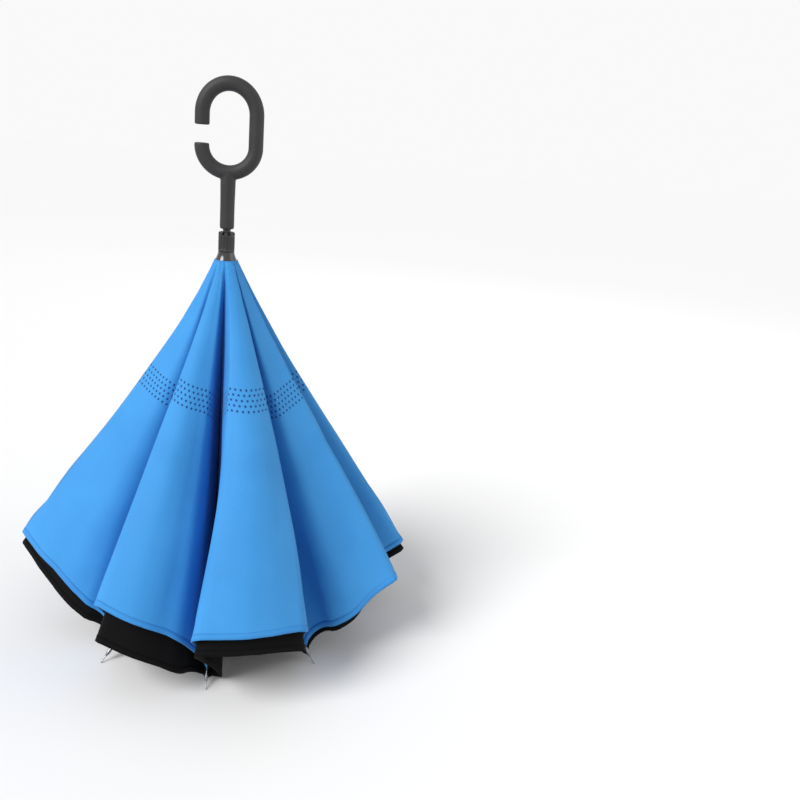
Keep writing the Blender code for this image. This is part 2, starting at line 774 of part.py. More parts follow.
def add_fixed_parts(finishes):
    """The handle, the shaft and what is fixed to it."""
    put(linked("handle", handle_mesh(), finishes["handle"]), Matrix())
    put(linked("shaft", shaft_mesh(), finishes["shaft"]), Matrix())
    put(linked("ferrule", ferrule_mesh(), finishes["plastic"]), Matrix())
    notch = Matrix.Translation((0.0, 0.0, NOTCH_PIVOT_Z))
    hub = hub_mesh()
    wire = wire_mesh()
    put(linked("notch_hub", hub, finishes["plastic"]), notch)
    put(linked("notch_wire", wire, finishes["steel"]), notch)
    return hub, wire


def add_runner(finishes, hub, wire, parent):
    """The runner: sleeve, skirt, hub and wire."""
    place = Matrix.Translation((0.0, 0.0, RUNNER_PIVOT_Z))
    put(linked("runner_sleeve", sleeve_mesh(), finishes["runner"]), Matrix(), parent)
    put(linked("runner_skirt", skirt_mesh(), finishes["gloss"]), Matrix(), parent)
    put(linked("runner_hub", hub, finishes["plastic"]), place, parent)
    put(linked("runner_wire", wire, finishes["steel"]), place, parent)


def add_arm(number, meshes, finishes):
    """One rib with its stretcher, tip and cloth. Gives back the rib's joint empty."""
    azimuth = -math.pi / 2 + (number - 1) * SECTOR
    out = Vector((math.cos(azimuth), math.sin(azimuth), 0.0))
    notch_place = out * PIVOT_RING_RADIUS + Vector((0.0, 0.0, NOTCH_PIVOT_Z))
    lean = Matrix.Rotation(-ARM_TILT, 4, "Z")
    stretcher_joint = joint_empty(f"stretcher_joint_{number}", notch_place)
    stand = upright(azimuth, PIVOT_RING_RADIUS, NOTCH_PIVOT_Z) @ lean
    name = f"stretcher_{number}"
    put(linked(name, meshes["stretcher"], finishes["steel"]), stand, stretcher_joint)
    knuckle = stand @ Vector((0.0, ARM_LENGTH, 0.0))
    rib_joint = joint_empty(f"rib_joint_{number}", knuckle, stretcher_joint)
    pin = upright(azimuth, 0.0, 0.0)
    pin.translation = knuckle
    put(linked(f"rivet_{number}", meshes["rivet"], finishes["steel"]), pin, stretcher_joint)
    hang = upright(azimuth, PIVOT_RING_RADIUS, RUNNER_PIVOT_Z)
    put(linked(f"rib_{number}", meshes["rib"], finishes["rib"]), hang, rib_joint)
    tilt = rib_tilt(RIB_LENGTH)
    end = Vector((*rib_point(RIB_LENGTH), 0.0))
    end += Vector((math.sin(tilt), -math.cos(tilt), 0.0)) * CLEARANCE
    point = Matrix.Rotation(tilt, 4, "Z") @ Matrix.Rotation(-math.pi / 2, 4, "X")
    tip = hang @ Matrix.Translation(end) @ point
    put(linked(f"tip_{number}", meshes["tip"], finishes["tip"]), tip, rib_joint)
    turn = Matrix.Rotation(azimuth + HALF_SECTOR, 4, "Z")
    canopy = linked(f"canopy_{number}", meshes["canopies"][number - 1], finishes["blue"])
    put(canopy, turn, rib_joint)
    lining = linked(f"lining_{number}", meshes["linings"][number - 1], finishes["black"])
    put(lining, turn, rib_joint)
    return rib_joint


def main():
    """Builds the umbrella."""
    clear_scene()
    finishes = {
        "handle": finish("Soft black grip", (0.045, 0.045, 0.047), 0.62),
        "shaft": finish("Black painted steel", (0.020, 0.020, 0.022), 0.35, 0.4),
        "plastic": finish("Black plastic", (0.025, 0.025, 0.027), 0.50),
        "runner": finish("Matt black plastic", (0.035, 0.035, 0.037), 0.48),
        "gloss": finish("Glossy black plastic", (0.020, 0.020, 0.022), 0.18),
        "steel": finish("Zinc plated steel", (0.55, 0.56, 0.58), 0.32, 0.9),
        "rib": finish("Black glass fibre", (0.022, 0.022, 0.024), 0.40),
        "tip": finish("Nickel plated tip", (0.42, 0.44, 0.48), 0.30, 0.9),
        "blue": finish("Lake blue pongee", (0.055, 0.300, 0.780), 0.75),
        "black": finish("Black pongee", (0.016, 0.016, 0.017), 0.80),
    }
    hub, wire = add_fixed_parts(finishes)
    gores = range(RIB_COUNT)
    meshes = {
        "rib": rib_mesh(),
        "stretcher": stretcher_mesh(),
        "rivet": rivet_mesh(),
        "tip": tip_mesh(),
        "canopies": [canopy_mesh(gore) for gore in gores],
        "linings": [lining_mesh(gore) for gore in gores],
    }
    rib_joints = [add_arm(number, meshes, finishes) for number in range(1, RIB_COUNT + 1)]
    first = Vector((0.0, -PIVOT_RING_RADIUS, RUNNER_PIVOT_Z))
    runner_joint = joint_empty("runner_joint", first, rib_joints[0])
    add_runner(finishes, hub, wire, runner_joint)


main()
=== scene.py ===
"""The looks of an inverted umbrella, closed and standing on its rib tips, handle up.

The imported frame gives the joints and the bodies. This script dresses them: a blue cloth outside, a
black one inside, hems, vent holes, a soft-coated C grip, the runner, the tips, and a plain studio.
Every cloth piece keeps two shapes, one for the closed umbrella and one for the open one, and turns
from one to the other as its two ribs swing. Sizes are in metres.
"""

import json
import logging
import math
from collections.abc import Callable
from dataclasses import dataclass, replace
from enum import Enum

import bmesh
import bpy
from mathutils import Matrix, Vector, noise

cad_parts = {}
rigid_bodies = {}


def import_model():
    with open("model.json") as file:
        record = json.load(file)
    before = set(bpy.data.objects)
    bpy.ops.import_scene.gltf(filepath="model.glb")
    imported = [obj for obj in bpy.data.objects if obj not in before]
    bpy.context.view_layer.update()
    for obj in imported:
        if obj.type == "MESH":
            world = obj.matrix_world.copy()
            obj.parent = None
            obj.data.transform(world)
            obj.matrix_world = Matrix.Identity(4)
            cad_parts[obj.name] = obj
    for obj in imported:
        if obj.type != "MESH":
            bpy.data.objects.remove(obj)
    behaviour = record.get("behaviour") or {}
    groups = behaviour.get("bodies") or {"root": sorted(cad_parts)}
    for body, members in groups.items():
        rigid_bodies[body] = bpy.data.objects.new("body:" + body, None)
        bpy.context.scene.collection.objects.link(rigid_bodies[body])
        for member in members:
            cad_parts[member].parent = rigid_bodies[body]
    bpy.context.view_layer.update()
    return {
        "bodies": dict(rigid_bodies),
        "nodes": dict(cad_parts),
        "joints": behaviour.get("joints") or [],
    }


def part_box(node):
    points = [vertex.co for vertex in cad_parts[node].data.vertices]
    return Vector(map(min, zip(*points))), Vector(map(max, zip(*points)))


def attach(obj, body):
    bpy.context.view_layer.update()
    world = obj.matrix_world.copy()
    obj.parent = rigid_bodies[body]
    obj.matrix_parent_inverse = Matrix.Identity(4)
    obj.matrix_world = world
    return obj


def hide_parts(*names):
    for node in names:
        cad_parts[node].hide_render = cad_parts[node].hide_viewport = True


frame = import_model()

LOG = logging.getLogger("umbrella")
TINY = 1e-9
STITCH_SHARE = 0.62
Point = tuple[float, float]
Outline = tuple[Point, ...]
Triple = tuple[float, float, float]
Socket = bpy.types.NodeSocket
Setting = float | int | bool | str | tuple | Socket


class Side(Enum):
    """The two seams of a gore."""

    FIRST = 0
    SECOND = 1


class Layer(Enum):
    """The two layers of a gore."""

    BLUE = "blue"
    BLACK = "black"


class Grain(Enum):
    """The surface of a hard piece."""

    MOULDED = "Moulded grain"
    DRAWN = "Drawn lines"


def smoothstep(value: float) -> float:
    """A smooth ramp from 0 at 0 to 1 at 1."""
    value = min(max(value, 0.0), 1.0)
    return value * value * (3 - 2 * value)


def arch(share: float) -> float:
    """0 at 0 and at 1, and 1 halfway."""
    return max(4 * share * (1 - share), 0.0)


def around(azimuth: float, radius: float, height: float) -> Vector:
    """A point at a distance from the shaft's axis."""
    return Vector((radius * math.cos(azimuth), radius * math.sin(azimuth), height))


def bend(start: Vector, corner: Vector, end: Vector, steps: int) -> list[Vector]:
    """Points from start to end, on a curve that the corner pulls at."""
    shares = [i / steps for i in range(steps + 1)]
    return [(1 - t) ** 2 * start + 2 * t * (1 - t) * corner + t**2 * end for t in shares]


def locate(line: list[Vector], across: float) -> tuple[int, float]:
    """Finds the point at a share of a line's length.

    Args:
        line: the line's points.
        across: the share, from 0 to 1.

    Returns:
        The number of the stretch between two points, and the share of that stretch.
    """
    lengths = [(b - a).length for a, b in zip(line, line[1:])]
    left = across * sum(lengths)
    i = 0
    while left > lengths[i] and i < len(lengths) - 1:
        left -= lengths[i]
        i += 1
    return i, left / max(lengths[i], TINY)


@dataclass(frozen=True)
class Linkage:
    """The frame's joints, and where its ribs and stretchers stand when closed and when open.

    The rib's sizes repeat the frame's: straight from the runner to the knuckle, then bent.
    """

    ribs: int
    ring: float
    runner_height: float
    notch_height: float
    arm: float
    lean: float
    swing: float
    knuckle_along: float = 0.2420
    knuckle_offset: float = 0.0042
    bend_radius: float = 0.4340
    rib_length: float = 0.5385

    @classmethod
    def of_frame(cls) -> "Linkage":
        """Reads the linkage from the frame's joints.

        Returns:
            The linkage.
        """
        joints = {joint["name"]: joint for joint in frame["joints"]}
        names = ("fold", "rib_hinge_1", "runner_hinge")
        notch, knuckle, runner = (Vector(joints[name]["pos_m"]) for name in names)
        return cls(
            ribs=sum(name.startswith("rib_hinge_") for name in joints),
            ring=notch.xy.length,
            runner_height=runner.z,
            notch_height=notch.z,
            arm=(knuckle - notch).length,
            lean=math.atan2(notch.y - knuckle.y, knuckle.z - notch.z),
            swing=math.radians(joints["fold"]["range_deg"][1]),
        )

    @property
    def tilt(self) -> float:
        """How far a rib's straight stretch leans outwards when closed."""
        return self.lean + math.atan2(self.knuckle_offset, self.knuckle_along)

    @property
    def sector(self) -> float:
        """The angle between two ribs, seen from above."""
        return 2 * math.pi / self.ribs

    @property
    def drop(self) -> float:
        """How far the runner slides down to open the umbrella."""
        gap = 2 * self.arm * math.cos(self.lean + self.swing)
        return self.runner_height - self.notch_height - gap

    def azimuth(self, number: float) -> float:
        """The direction of a rib, counted from 1 at the front."""
        return -math.pi / 2 + (number - 1) * self.sector

    def at(self, number: float, radius: float, height: float) -> Vector:
        """A point in the direction of a rib."""
        return around(self.azimuth(number), radius, height)

    def sideways(self, number: float) -> Vector:
        """The level direction square to a rib's plane."""
        azimuth = self.azimuth(number)
        return Vector((-math.sin(azimuth), math.cos(azimuth), 0.0))

    def rib_tilt(self, along: float) -> float:
        """How far the closed rib leans outwards at a distance along it."""
        return self.tilt + max(along - self.knuckle_along, 0.0) / self.bend_radius

    def rib_point(self, along: float, outwards: float = 0.0) -> Point:
        """A point of the closed rib.

        Args:
            along: distance from the runner's pivot, along the rib.
            outwards: distance from the rib's middle line, away from the shaft.

        Returns:
            Its distance from the shaft's axis and its height.
        """
        straight = min(along, self.knuckle_along)
        end = self.rib_tilt(along)
        radius = self.ring + straight * math.sin(self.tilt)
        radius += self.bend_radius * (math.cos(self.tilt) - math.cos(end))
        height = self.runner_height - straight * math.cos(self.tilt)
        height -= self.bend_radius * (math.sin(end) - math.sin(self.tilt))
        return radius + outwards * math.cos(end), height + outwards * math.sin(end)

    def turn(self, number: float, height: float, angle: float) -> Matrix:
        """A turn about one rib's pivot, which lies level and square to the rib's plane."""
        pivot = Matrix.Translation(self.at(number, self.ring, height))
        return pivot @ Matrix.Rotation(angle, 4, self.sideways(number)) @ pivot.inverted()

    def open_rib(self, number: float) -> Matrix:
        """Where a rib goes from closed to open."""
        down = Matrix.Translation((0.0, 0.0, -self.drop))
        return down @ self.turn(number, self.runner_height, -self.swing)

    def open_stretcher(self, number: float) -> Matrix:
        """Where a stretcher goes from closed to open."""
        return self.turn(number, self.notch_height, self.swing)


LINKAGE = Linkage.of_frame()


class Nodes:
    """Adds nodes to a tree, and links them by passing one node's output to the next."""

    def __init__(self, tree: bpy.types.NodeTree) -> None:
        """Takes the tree that the nodes go into."""
        self.tree = tree

    def set(self, socket: Socket, value: Setting) -> None:
        """Sets a socket to a value, or links another node's output to it.

        Args:
            socket: the socket.
            value: the value or the output.
        """
        if isinstance(value, Socket):
            self.tree.links.new(value, socket)
        else:
            socket.default_value = value

    def add(self, kind: str, settings: dict | None = None, **inputs: Setting) -> bpy.types.Node:
        """Adds a node.

        Args:
            kind: the node's type. A shader node's goes without its "ShaderNode" prefix.
            settings: the node's own properties.
            inputs: what goes into its sockets, by name with _ for a space, or _0, _1 by number.

        Returns:
            The node.
        """
        node = self.tree.nodes.new(kind if "Node" in kind else "ShaderNode" + kind)
        for name, value in (settings or {}).items():
            setattr(node, name, value)
        for name, value in inputs.items():
            self.set(node.inputs[int(name[1:]) if name[0] == "_" else name.replace("_", " ")], value)
        return node

    def group(self, tree: bpy.types.NodeTree, **inputs: Setting) -> bpy.types.bpy_prop_collection:
        """A node group's outputs."""
        return self.add("Group", {"node_tree": tree}, **inputs).outputs

    def math(self, operation: str, *values: Setting) -> Socket:
        """A Math node's result."""
        inputs = {f"_{i}": value for i, value in enumerate(values)}
        return self.add("Math", {"operation": operation}, **inputs).outputs[0]

    def summed(self, first: Setting, share: Setting, second: Setting, other: Setting = 1.0) -> Socket:
        """The first value times its share, and the second times the other share."""
        rest = second if other == 1.0 else self.math("MULTIPLY", second, other)
        return self.math("MULTIPLY_ADD", first, share, rest)

    def scaled(self, vector: Setting, factor: Setting) -> Socket:
        """A vector times a factor."""
        return self.add("VectorMath", {"operation": "SCALE"}, _0=vector, Scale=factor).outputs[0]

    def split(self, vector: Socket) -> bpy.types.bpy_prop_collection:
        """A vector's X, Y and Z."""
        return self.add("SeparateXYZ", Vector=vector).outputs

    def ramp(self, value: Setting, low: float, high: float) -> Socket:
        """0 where the value is at low, 1 where it is at high, and smooth between them."""
        smooth = {"interpolation_type": "SMOOTHSTEP"}
        return self.add("MapRange", smooth, Value=value, From_Min=low, From_Max=high).outputs[0]

    def mix(self, share: Setting, first: Setting, second: Setting) -> Socket:
        """The mix of two colours."""
        first, second = ((*c, 1) if isinstance(c, tuple) else c for c in (first, second))
        return self.add("Mix", {"data_type": "RGBA"}, _0=share, _6=first, _7=second).outputs[2]

    def noise(self, place: Setting, size: float, detail: float) -> Socket:
        """Noise from 0 to 1 with features about size metres wide."""
        return self.add("TexNoise", Vector=place, Scale=1 / size, Detail=detail).outputs["Fac"]


def new_group(
    name: str,
    inputs: tuple[str, ...],
    outputs: tuple[str, ...],
    fill: Callable[..., tuple[Socket, ...]],
) -> bpy.types.NodeTree:
    """Makes a shader node group.

    Args:
        name: the group's name.
        inputs: the names of its inputs. Place is a vector, and the others are numbers.
        outputs: the names of its outputs, all numbers.
        fill: takes the group's nodes and its inputs, and returns what goes to its outputs.

    Returns:
        The group.
    """
    tree = bpy.data.node_groups.new(name, "ShaderNodeTree")
    for direction, names in (("INPUT", inputs), ("OUTPUT", outputs)):
        for socket in names:
            kind = "NodeSocketVector" if socket == "Place" else "NodeSocketFloat"
            tree.interface.new_socket(socket, in_out=direction, socket_type=kind)
    nodes = Nodes(tree)
    taken = nodes.add("NodeGroupInput").outputs
    given = nodes.add("NodeGroupOutput").inputs
    for socket, value in zip(outputs, fill(nodes, *(taken[socket] for socket in inputs))):
        nodes.set(given[socket], value)
    return tree


class Effects:
    """The effects that more than one finish uses, each a node group that is built once."""

    def __init__(self) -> None:
        """Builds every group."""
        looks = ("Height", "Tone")
        marks = ("Thread", "Furrow")
        seam = ("Distance", "Along", "Line", "Pitch")
        self.weave = new_group("Plain weave", ("Place", "Pitch", "Crumple"), looks, self.fill_weave)
        self.stitches = new_group("Stitches", seam, marks, self.fill_stitches)
        fills = {Grain.MOULDED: self.fill_moulded, Grain.DRAWN: self.fill_drawn}
        self.grains = {g: new_group(g.value, ("Place", "Grain"), looks, fills[g]) for g in Grain}

    @staticmethod
    def fill_weave(nodes: Nodes, place: Socket, pitch: Socket, crumple: Socket) -> tuple[Socket, Socket]:
        """Plain weave: threads that pass over and under each other, with uneven yarn.

        Args:
            nodes: the group's nodes.
            place: the place on the flat cloth.
            pitch: the width of one repeat.
            crumple: how high the crumples stand.

        Returns:
            The height and the tone.
        """
        split = nodes.split(nodes.scaled(place, nodes.math("DIVIDE", 2 * math.pi, pitch)))
        threads = nodes.math("MULTIPLY", *(nodes.math("SINE", split[axis]) for axis in "XY"))
        waves = nodes.noise(place, size=0.030, detail=4.0)
        yarn = nodes.noise(place, size=0.0022, detail=3.0)
        clouds = nodes.noise(place, size=0.12, detail=3.0)
        height = nodes.summed(waves, crumple, nodes.summed(threads, 0.03, yarn, 0.05))
        return height, nodes.summed(yarn, 0.25, clouds, 0.75)

    @staticmethod
    def fill_stitches(
        nodes: Nodes, distance: Socket, along: Socket, line: Socket, pitch: Socket
    ) -> tuple[Socket, Socket]:
        """A line of stitches at a distance from an edge, in a shallow furrow.

        Args:
            nodes: the group's nodes.
            distance: the distance from the edge.
            along: the place along the edge.
            line: the stitches' distance from the edge.
            pitch: the length from stitch to stitch.

        Returns:
            Where the thread is, and the furrow round it.
        """
        away = nodes.math("ABSOLUTE", nodes.math("SUBTRACT", distance, line))
        step = nodes.math("FRACT", nodes.math("DIVIDE", along, pitch))
        stitch = nodes.math("LESS_THAN", step, STITCH_SHARE)
        thread = nodes.math("MULTIPLY", nodes.ramp(away, low=0.00055, high=0.00025), stitch)
        return thread, nodes.ramp(away, low=0.0020, high=0.0)

    @staticmethod
    def fill_moulded(nodes: Nodes, place: Socket, size: Socket) -> tuple[Socket, Socket]:
        """Moulded plastic: a fine grain, soft blotches and a little rubbing.

        Args:
            nodes: the group's nodes.
            place: the place on the piece.
            size: the width of a grain.

        Returns:
            The height and the tone.
        """
        grain = nodes.noise(nodes.scaled(place, nodes.math("DIVIDE", 1.0, size)), size=1.0, detail=3.0)
        blotch = nodes.noise(place, size=0.018, detail=3.0)
        rub = nodes.noise(place, size=0.004, detail=5.0)
        return grain, nodes.summed(rub, 0.4, blotch, 0.6)

    @staticmethod
    def fill_drawn(nodes: Nodes, place: Socket, size: Socket) -> tuple[Socket, Socket]:
        """Fine scratches that run up a metal or fibre piece, over cloudy patches.

        Args:
            nodes: the group's nodes.
            place: the place on the piece.
            size: the width of a scratch.

        Returns:
            The height and the tone.
        """
        stretched = nodes.add("Mapping", Vector=place, Scale=(1.0, 1.0, 0.06)).outputs[0]
        lines = nodes.noise(nodes.scaled(stretched, nodes.math("DIVIDE", 1.0, size)), size=1.0, detail=4.0)
        patches = nodes.noise(place, size=0.010, detail=4.0)
        return lines, nodes.summed(lines, 0.5, patches, 0.5)


class Surface(Nodes):
    """The nodes of one Principled material."""

    def __init__(self, name: str, **constants: Setting) -> None:
        """Makes the material.

        Args:
            name: the material's name.
            constants: the shader's values that are the same all over.
        """
        self.material = bpy.data.materials.new(name)
        self.material.use_nodes = True
        super().__init__(self.material.node_tree)
        self.shader = self.tree.nodes["Principled BSDF"]
        for socket, value in constants.items():
            self.shader.inputs[socket.replace("_", " ")].default_value = value

    def finish(self, **inputs: Setting) -> bpy.types.Material:
        """Links what varies over the surface to the shader.

        Args:
            inputs: what goes into the shader's sockets, by name with _ for a space.

        Returns:
            The material.
        """
        for socket, value in inputs.items():
            self.set(self.shader.inputs[socket.replace("_", " ")], value)
        return self.material

    def bump(self, height: Socket, strength: float, distance: float) -> Socket:
        """The normal of a surface with this height."""
        return self.add("Bump", Strength=strength, Distance=distance, Height=height).outputs[0]


@dataclass(frozen=True)
class VentBand:
    """Staggered rows of small upright holes across a blue gore."""

    middle: float = 0.1822
    row: float = 0.0066
    pitch: float = 0.0053
    hole_radius: float = 0.00105
    stretch: float = 0.70
    blur: float = 0.0005
    stagger: float = 0.5
    rows: int = 5

    def mask(self, nodes: Nodes, flat: Socket) -> Socket:
        """The pattern of the holes.

        Args:
            nodes: the material's nodes.
            flat: the place on the flat cloth, in metres.

        Returns:
            1 in a hole and 0 outside.
        """
        split = nodes.split(flat)
        start = self.middle - self.row * self.rows / 2
        level = nodes.math("DIVIDE", nodes.math("SUBTRACT", split["Y"], start), self.row)
        index = nodes.math("FLOOR", level)
        across = nodes.summed(index, self.stagger, nodes.math("DIVIDE", split["X"], self.pitch))
        away = []
        for place, size in ((across, self.pitch), (level, self.row * self.stretch)):
            centred = nodes.math("SUBTRACT", nodes.math("FRACT", place), 0.5)
            away.append(nodes.math("MULTIPLY", centred, size))
        x, y = away
        radius = nodes.math("SQRT", nodes.summed(x, x, nodes.math("MULTIPLY", y, y)))
        hole = nodes.ramp(radius, self.hole_radius + self.blur, self.hole_radius - self.blur)
        inside = nodes.math("COMPARE", index, (self.rows - 1) / 2, self.rows / 2)
        return nodes.math("MULTIPLY", hole, inside)


@dataclass(frozen=True)
class ClothFinish:
    """A thin woven polyester, with stitched seams and hems."""

    name: str
    colour: Triple
    shade_colour: Triple
    roughness: float
    sheen: float
    crumple: float
    specular: float
    vents: VentBand | None = None
    # Painted shade: the deep navy that the cloth is darkened to in its narrow folds.
    crease_shade_colour: Triple | None = None
    # Painted shade: the dark of the inside, seen through the vent holes.
    vent_shade_colour: Triple = (0.005, 0.045, 0.200)
    vent_depth: float = -0.8
    crease_shade_reach: float = 0.019
    crease_shade_ramp: Point = (0.12, 0.66)
    tones: Point = (0.30, 0.68)
    spread: float = 0.12
    pitch: float = 0.0011
    seam_line: float = 0.0045
    hem_line: float = 0.0085
    stitch: float = 0.0034
    thread_share: float = 0.3
    stitch_relief: float = 0.10
    relief: float = 0.6
    depth: float = 0.0012

    def make(self, effects: Effects) -> bpy.types.Material:
        """Builds the material.

        Args:
            effects: the shared effects.

        Returns:
            The material.
        """
        surface = Surface(
            self.name,
            Sheen_Weight=self.sheen,
            Sheen_Roughness=0.5,
            Specular_IOR_Level=self.specular,
        )
        flat = surface.add("UVMap", {"uv_map": "flat"}).outputs[0]
        edges = surface.split(surface.add("UVMap", {"uv_map": "edges"}).outputs[0])
        place = surface.split(flat)
        weave = surface.group(effects.weave, Place=flat, Pitch=self.pitch, Crumple=self.crumple)
        stitches = []
        for away, along, line in (("X", "Y", self.seam_line), ("Y", "X", self.hem_line)):
            inputs = {"Distance": edges[away], "Along": place[along], "Line": line}
            stitches.append(surface.group(effects.stitches, Pitch=self.stitch, **inputs))
        thread = surface.math("MAXIMUM", *(line["Thread"] for line in stitches))
        furrow = surface.math("MAXIMUM", *(line["Furrow"] for line in stitches))
        colour = surface.mix(surface.ramp(weave["Tone"], *self.tones), self.shade_colour, self.colour)
        share = surface.math("MULTIPLY", thread, self.thread_share)
        colour = surface.mix(share, colour, self.shade_colour)
        height = surface.summed(furrow, -self.stitch_relief, weave["Height"])
        height = surface.summed(thread, self.stitch_relief, height)
        if self.vents:
            hole = self.vents.mask(surface, flat)
            # The holes are painted dark: painted shade of the inside seen through them.
            colour = surface.mix(hole, colour, self.vent_shade_colour)
            height = surface.summed(hole, self.vent_depth, height)
        # Painted shade: ambient occlusion darkens the cloth towards a deep navy in its narrow folds and
        # valleys.
        if self.crease_shade_colour:
            occlusion = surface.add("AmbientOcclusion", {"samples": 4}, Distance=self.crease_shade_reach)
            lit = surface.ramp(occlusion.outputs["AO"], *self.crease_shade_ramp)
            colour = surface.mix(lit, self.crease_shade_colour, colour)
        return surface.finish(
            Base_Color=colour,
            Roughness=surface.summed(weave["Tone"], self.spread, self.roughness - self.spread / 2),
            Normal=surface.bump(height, self.relief, self.depth),
        )


@dataclass(frozen=True)
class HardFinish:
    """A moulded plastic, from soft matt to glossy, with a colour for each end of its tone."""

    name: str
    low_colour: Triple
    high_colour: Triple
    roughness: float
    spread: float
    grain: float
    relief: float
    coat: float = 0.0
    coat_roughness: float = 0.08
    metal: float = 0.0
    depth: float = 0.0003
    tones: Point = (0.35, 0.7)
    kind: Grain = Grain.MOULDED

    def make(self, effects: Effects) -> bpy.types.Material:
        """Builds the material.

        Args:
            effects: the shared effects.

        Returns:
            The material.
        """
        coat = {"Coat_Weight": self.coat, "Coat_Roughness": self.coat_roughness}
        surface = Surface(self.name, Metallic=self.metal, **coat)
        place = surface.add("TexCoord").outputs["Object"]
        grain = surface.group(effects.grains[self.kind], Place=place, Grain=self.grain)
        tone = grain["Tone"]
        return surface.finish(
            Base_Color=surface.mix(surface.ramp(tone, *self.tones), self.low_colour, self.high_colour),
            Roughness=surface.summed(tone, self.spread, self.roughness - self.spread / 2),
            Normal=surface.bump(grain["Height"], self.relief, self.depth),
        )


@dataclass(frozen=True)
class DrawnFinish(HardFinish):
    """A metal or a glass fibre rod, with lines that run up it."""

    spread: float = -0.16
    grain: float = 0.0006
    relief: float = 0.25
    depth: float = 0.0002
    tones: Point = (0.3, 0.75)
    kind: Grain = Grain.DRAWN


BLUE = ClothFinish(
    "Lake blue pongee",
    colour=(0.052, 0.300, 0.685),
    shade_colour=(0.040, 0.254, 0.606),
    roughness=0.66,
    sheen=0.06,
    crumple=0.55,
    specular=0.20,
    vents=VentBand(),
    crease_shade_colour=(0.016, 0.150, 0.500),
)
BLUE_HEM = replace(
    BLUE,
    name="Lake blue hem",
    colour=(0.047, 0.280, 0.668),
    shade_colour=(0.035, 0.232, 0.585),
    crumple=0.35,
    vents=None,
    crease_shade_colour=None,
)
BLACK = ClothFinish(
    "Black pongee",
    colour=(0.0034, 0.0032, 0.0037),
    shade_colour=(0.0022, 0.0021, 0.0024),
    roughness=0.80,
    sheen=0.01,
    crumple=0.55,
    specular=0.10,
)
GRIP = HardFinish(
    "Soft-coated grip",
    low_colour=(0.011, 0.011, 0.012),
    high_colour=(0.018, 0.018, 0.019),
    roughness=0.60,
    spread=0.14,
    grain=0.0005,
    relief=0.22,
)
MATT = HardFinish(
    "Matt black plastic",
    low_colour=(0.013, 0.013, 0.014),
    high_colour=(0.022, 0.022, 0.023),
    roughness=0.44,
    spread=0.18,
    grain=0.0004,
    relief=0.15,
)
GLOSS = HardFinish(
    "Glossy black plastic",
    low_colour=(0.009, 0.009, 0.010),
    high_colour=(0.014, 0.014, 0.015),
    roughness=0.22,
    spread=0.10,
    grain=0.0008,
    relief=0.05,
    coat=0.5,
)
PAINTED = DrawnFinish(
    "Black painted tube",
    low_colour=(0.018, 0.018, 0.020),
    high_colour=(0.030, 0.030, 0.033),
    metal=0.3,
    roughness=0.30,
)
ZINC = DrawnFinish(
    "Zinc plated steel",
    low_colour=(0.38, 0.39, 0.41),
    high_colour=(0.58, 0.59, 0.61),
    metal=1.0,
    roughness=0.34,
)
FIBRE = DrawnFinish(
    "Black glass fibre",
    low_colour=(0.016, 0.016, 0.018),
    high_colour=(0.034, 0.034, 0.037),
    roughness=0.42,
    grain=0.0004,
)
NICKEL = DrawnFinish(
    "Nickel plated tip",
    low_colour=(0.15, 0.155, 0.17),
    high_colour=(0.30, 0.31, 0.34),
    metal=1.0,
    roughness=0.28,
)


def place_object(name: str, data: bpy.types.ID) -> bpy.types.Object:
    """Puts a mesh, a light or a camera in the scene.

    Args:
        name: the object's name.
        data: the mesh, the light or the camera.

    Returns:
        The object.
    """
    placed = bpy.data.objects.new(name, data)
    bpy.context.scene.collection.objects.link(placed)
    return placed


def add_piece(
    name: str,
    mesh: bpy.types.Mesh,
    material: bpy.types.Material,
    slot: str,
    body: str,
    node: str | None = None,
    place: Matrix | None = None,
) -> bpy.types.Object:
    """Puts a piece in the scene.

    Args:
        name: the piece's name.
        mesh: its mesh.
        material: its finish.
        slot: not used.
        body: the body that it rides on.
        node: the node of the frame that it replaces.
        place: where it goes.

    Returns:
        The piece.
    """
    mesh.materials.clear()
    mesh.materials.append(material)
    piece = place_object(name, mesh)
    if place:
        piece.matrix_world = place
    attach(piece, body)
    if node:
        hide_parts(node)
    return piece


def smooth_mesh(name: str, bm: bmesh.types.BMesh, degrees: float = 35.0) -> bpy.types.Mesh:
    """A smooth mesh whose sharper edges stay crisp, with its faces pointing out.

    Args:
        name: the mesh's name.
        bm: its faces, which this uses up.
        degrees: the angle from which an edge is sharp.

    Returns:
        The mesh.
    """
    bmesh.ops.remove_doubles(bm, verts=bm.verts, dist=1e-6)
    bmesh.ops.recalc_face_normals(bm, faces=bm.faces)
    mesh = bpy.data.meshes.new(name)
    bm.to_mesh(mesh)
    bm.free()
    mesh.shade_smooth()
    mesh.set_sharp_from_angle(angle=math.radians(degrees))
    return mesh


def turned(name: str, profile: list[Point], sides: int = 64) -> bpy.types.Mesh:
    """A round piece.

    Args:
        name: the mesh's name.
        profile: distance from the axis and height of each point, from one end to the other.
        sides: faces round the piece.

    Returns:
        The mesh, turned round Z and closed at both ends.
    """
    bm = bmesh.new()
    points = [bm.verts.new((radius, 0.0, height)) for radius, height in profile]
    edges = [bm.edges.new(pair) for pair in zip(points, points[1:])]
    turn = {"cent": (0, 0, 0), "axis": (0, 0, 1), "angle": 2 * math.pi, "steps": sides}
    bmesh.ops.spin(bm, geom=points + edges, **turn)
    return smooth_mesh(name, bm)


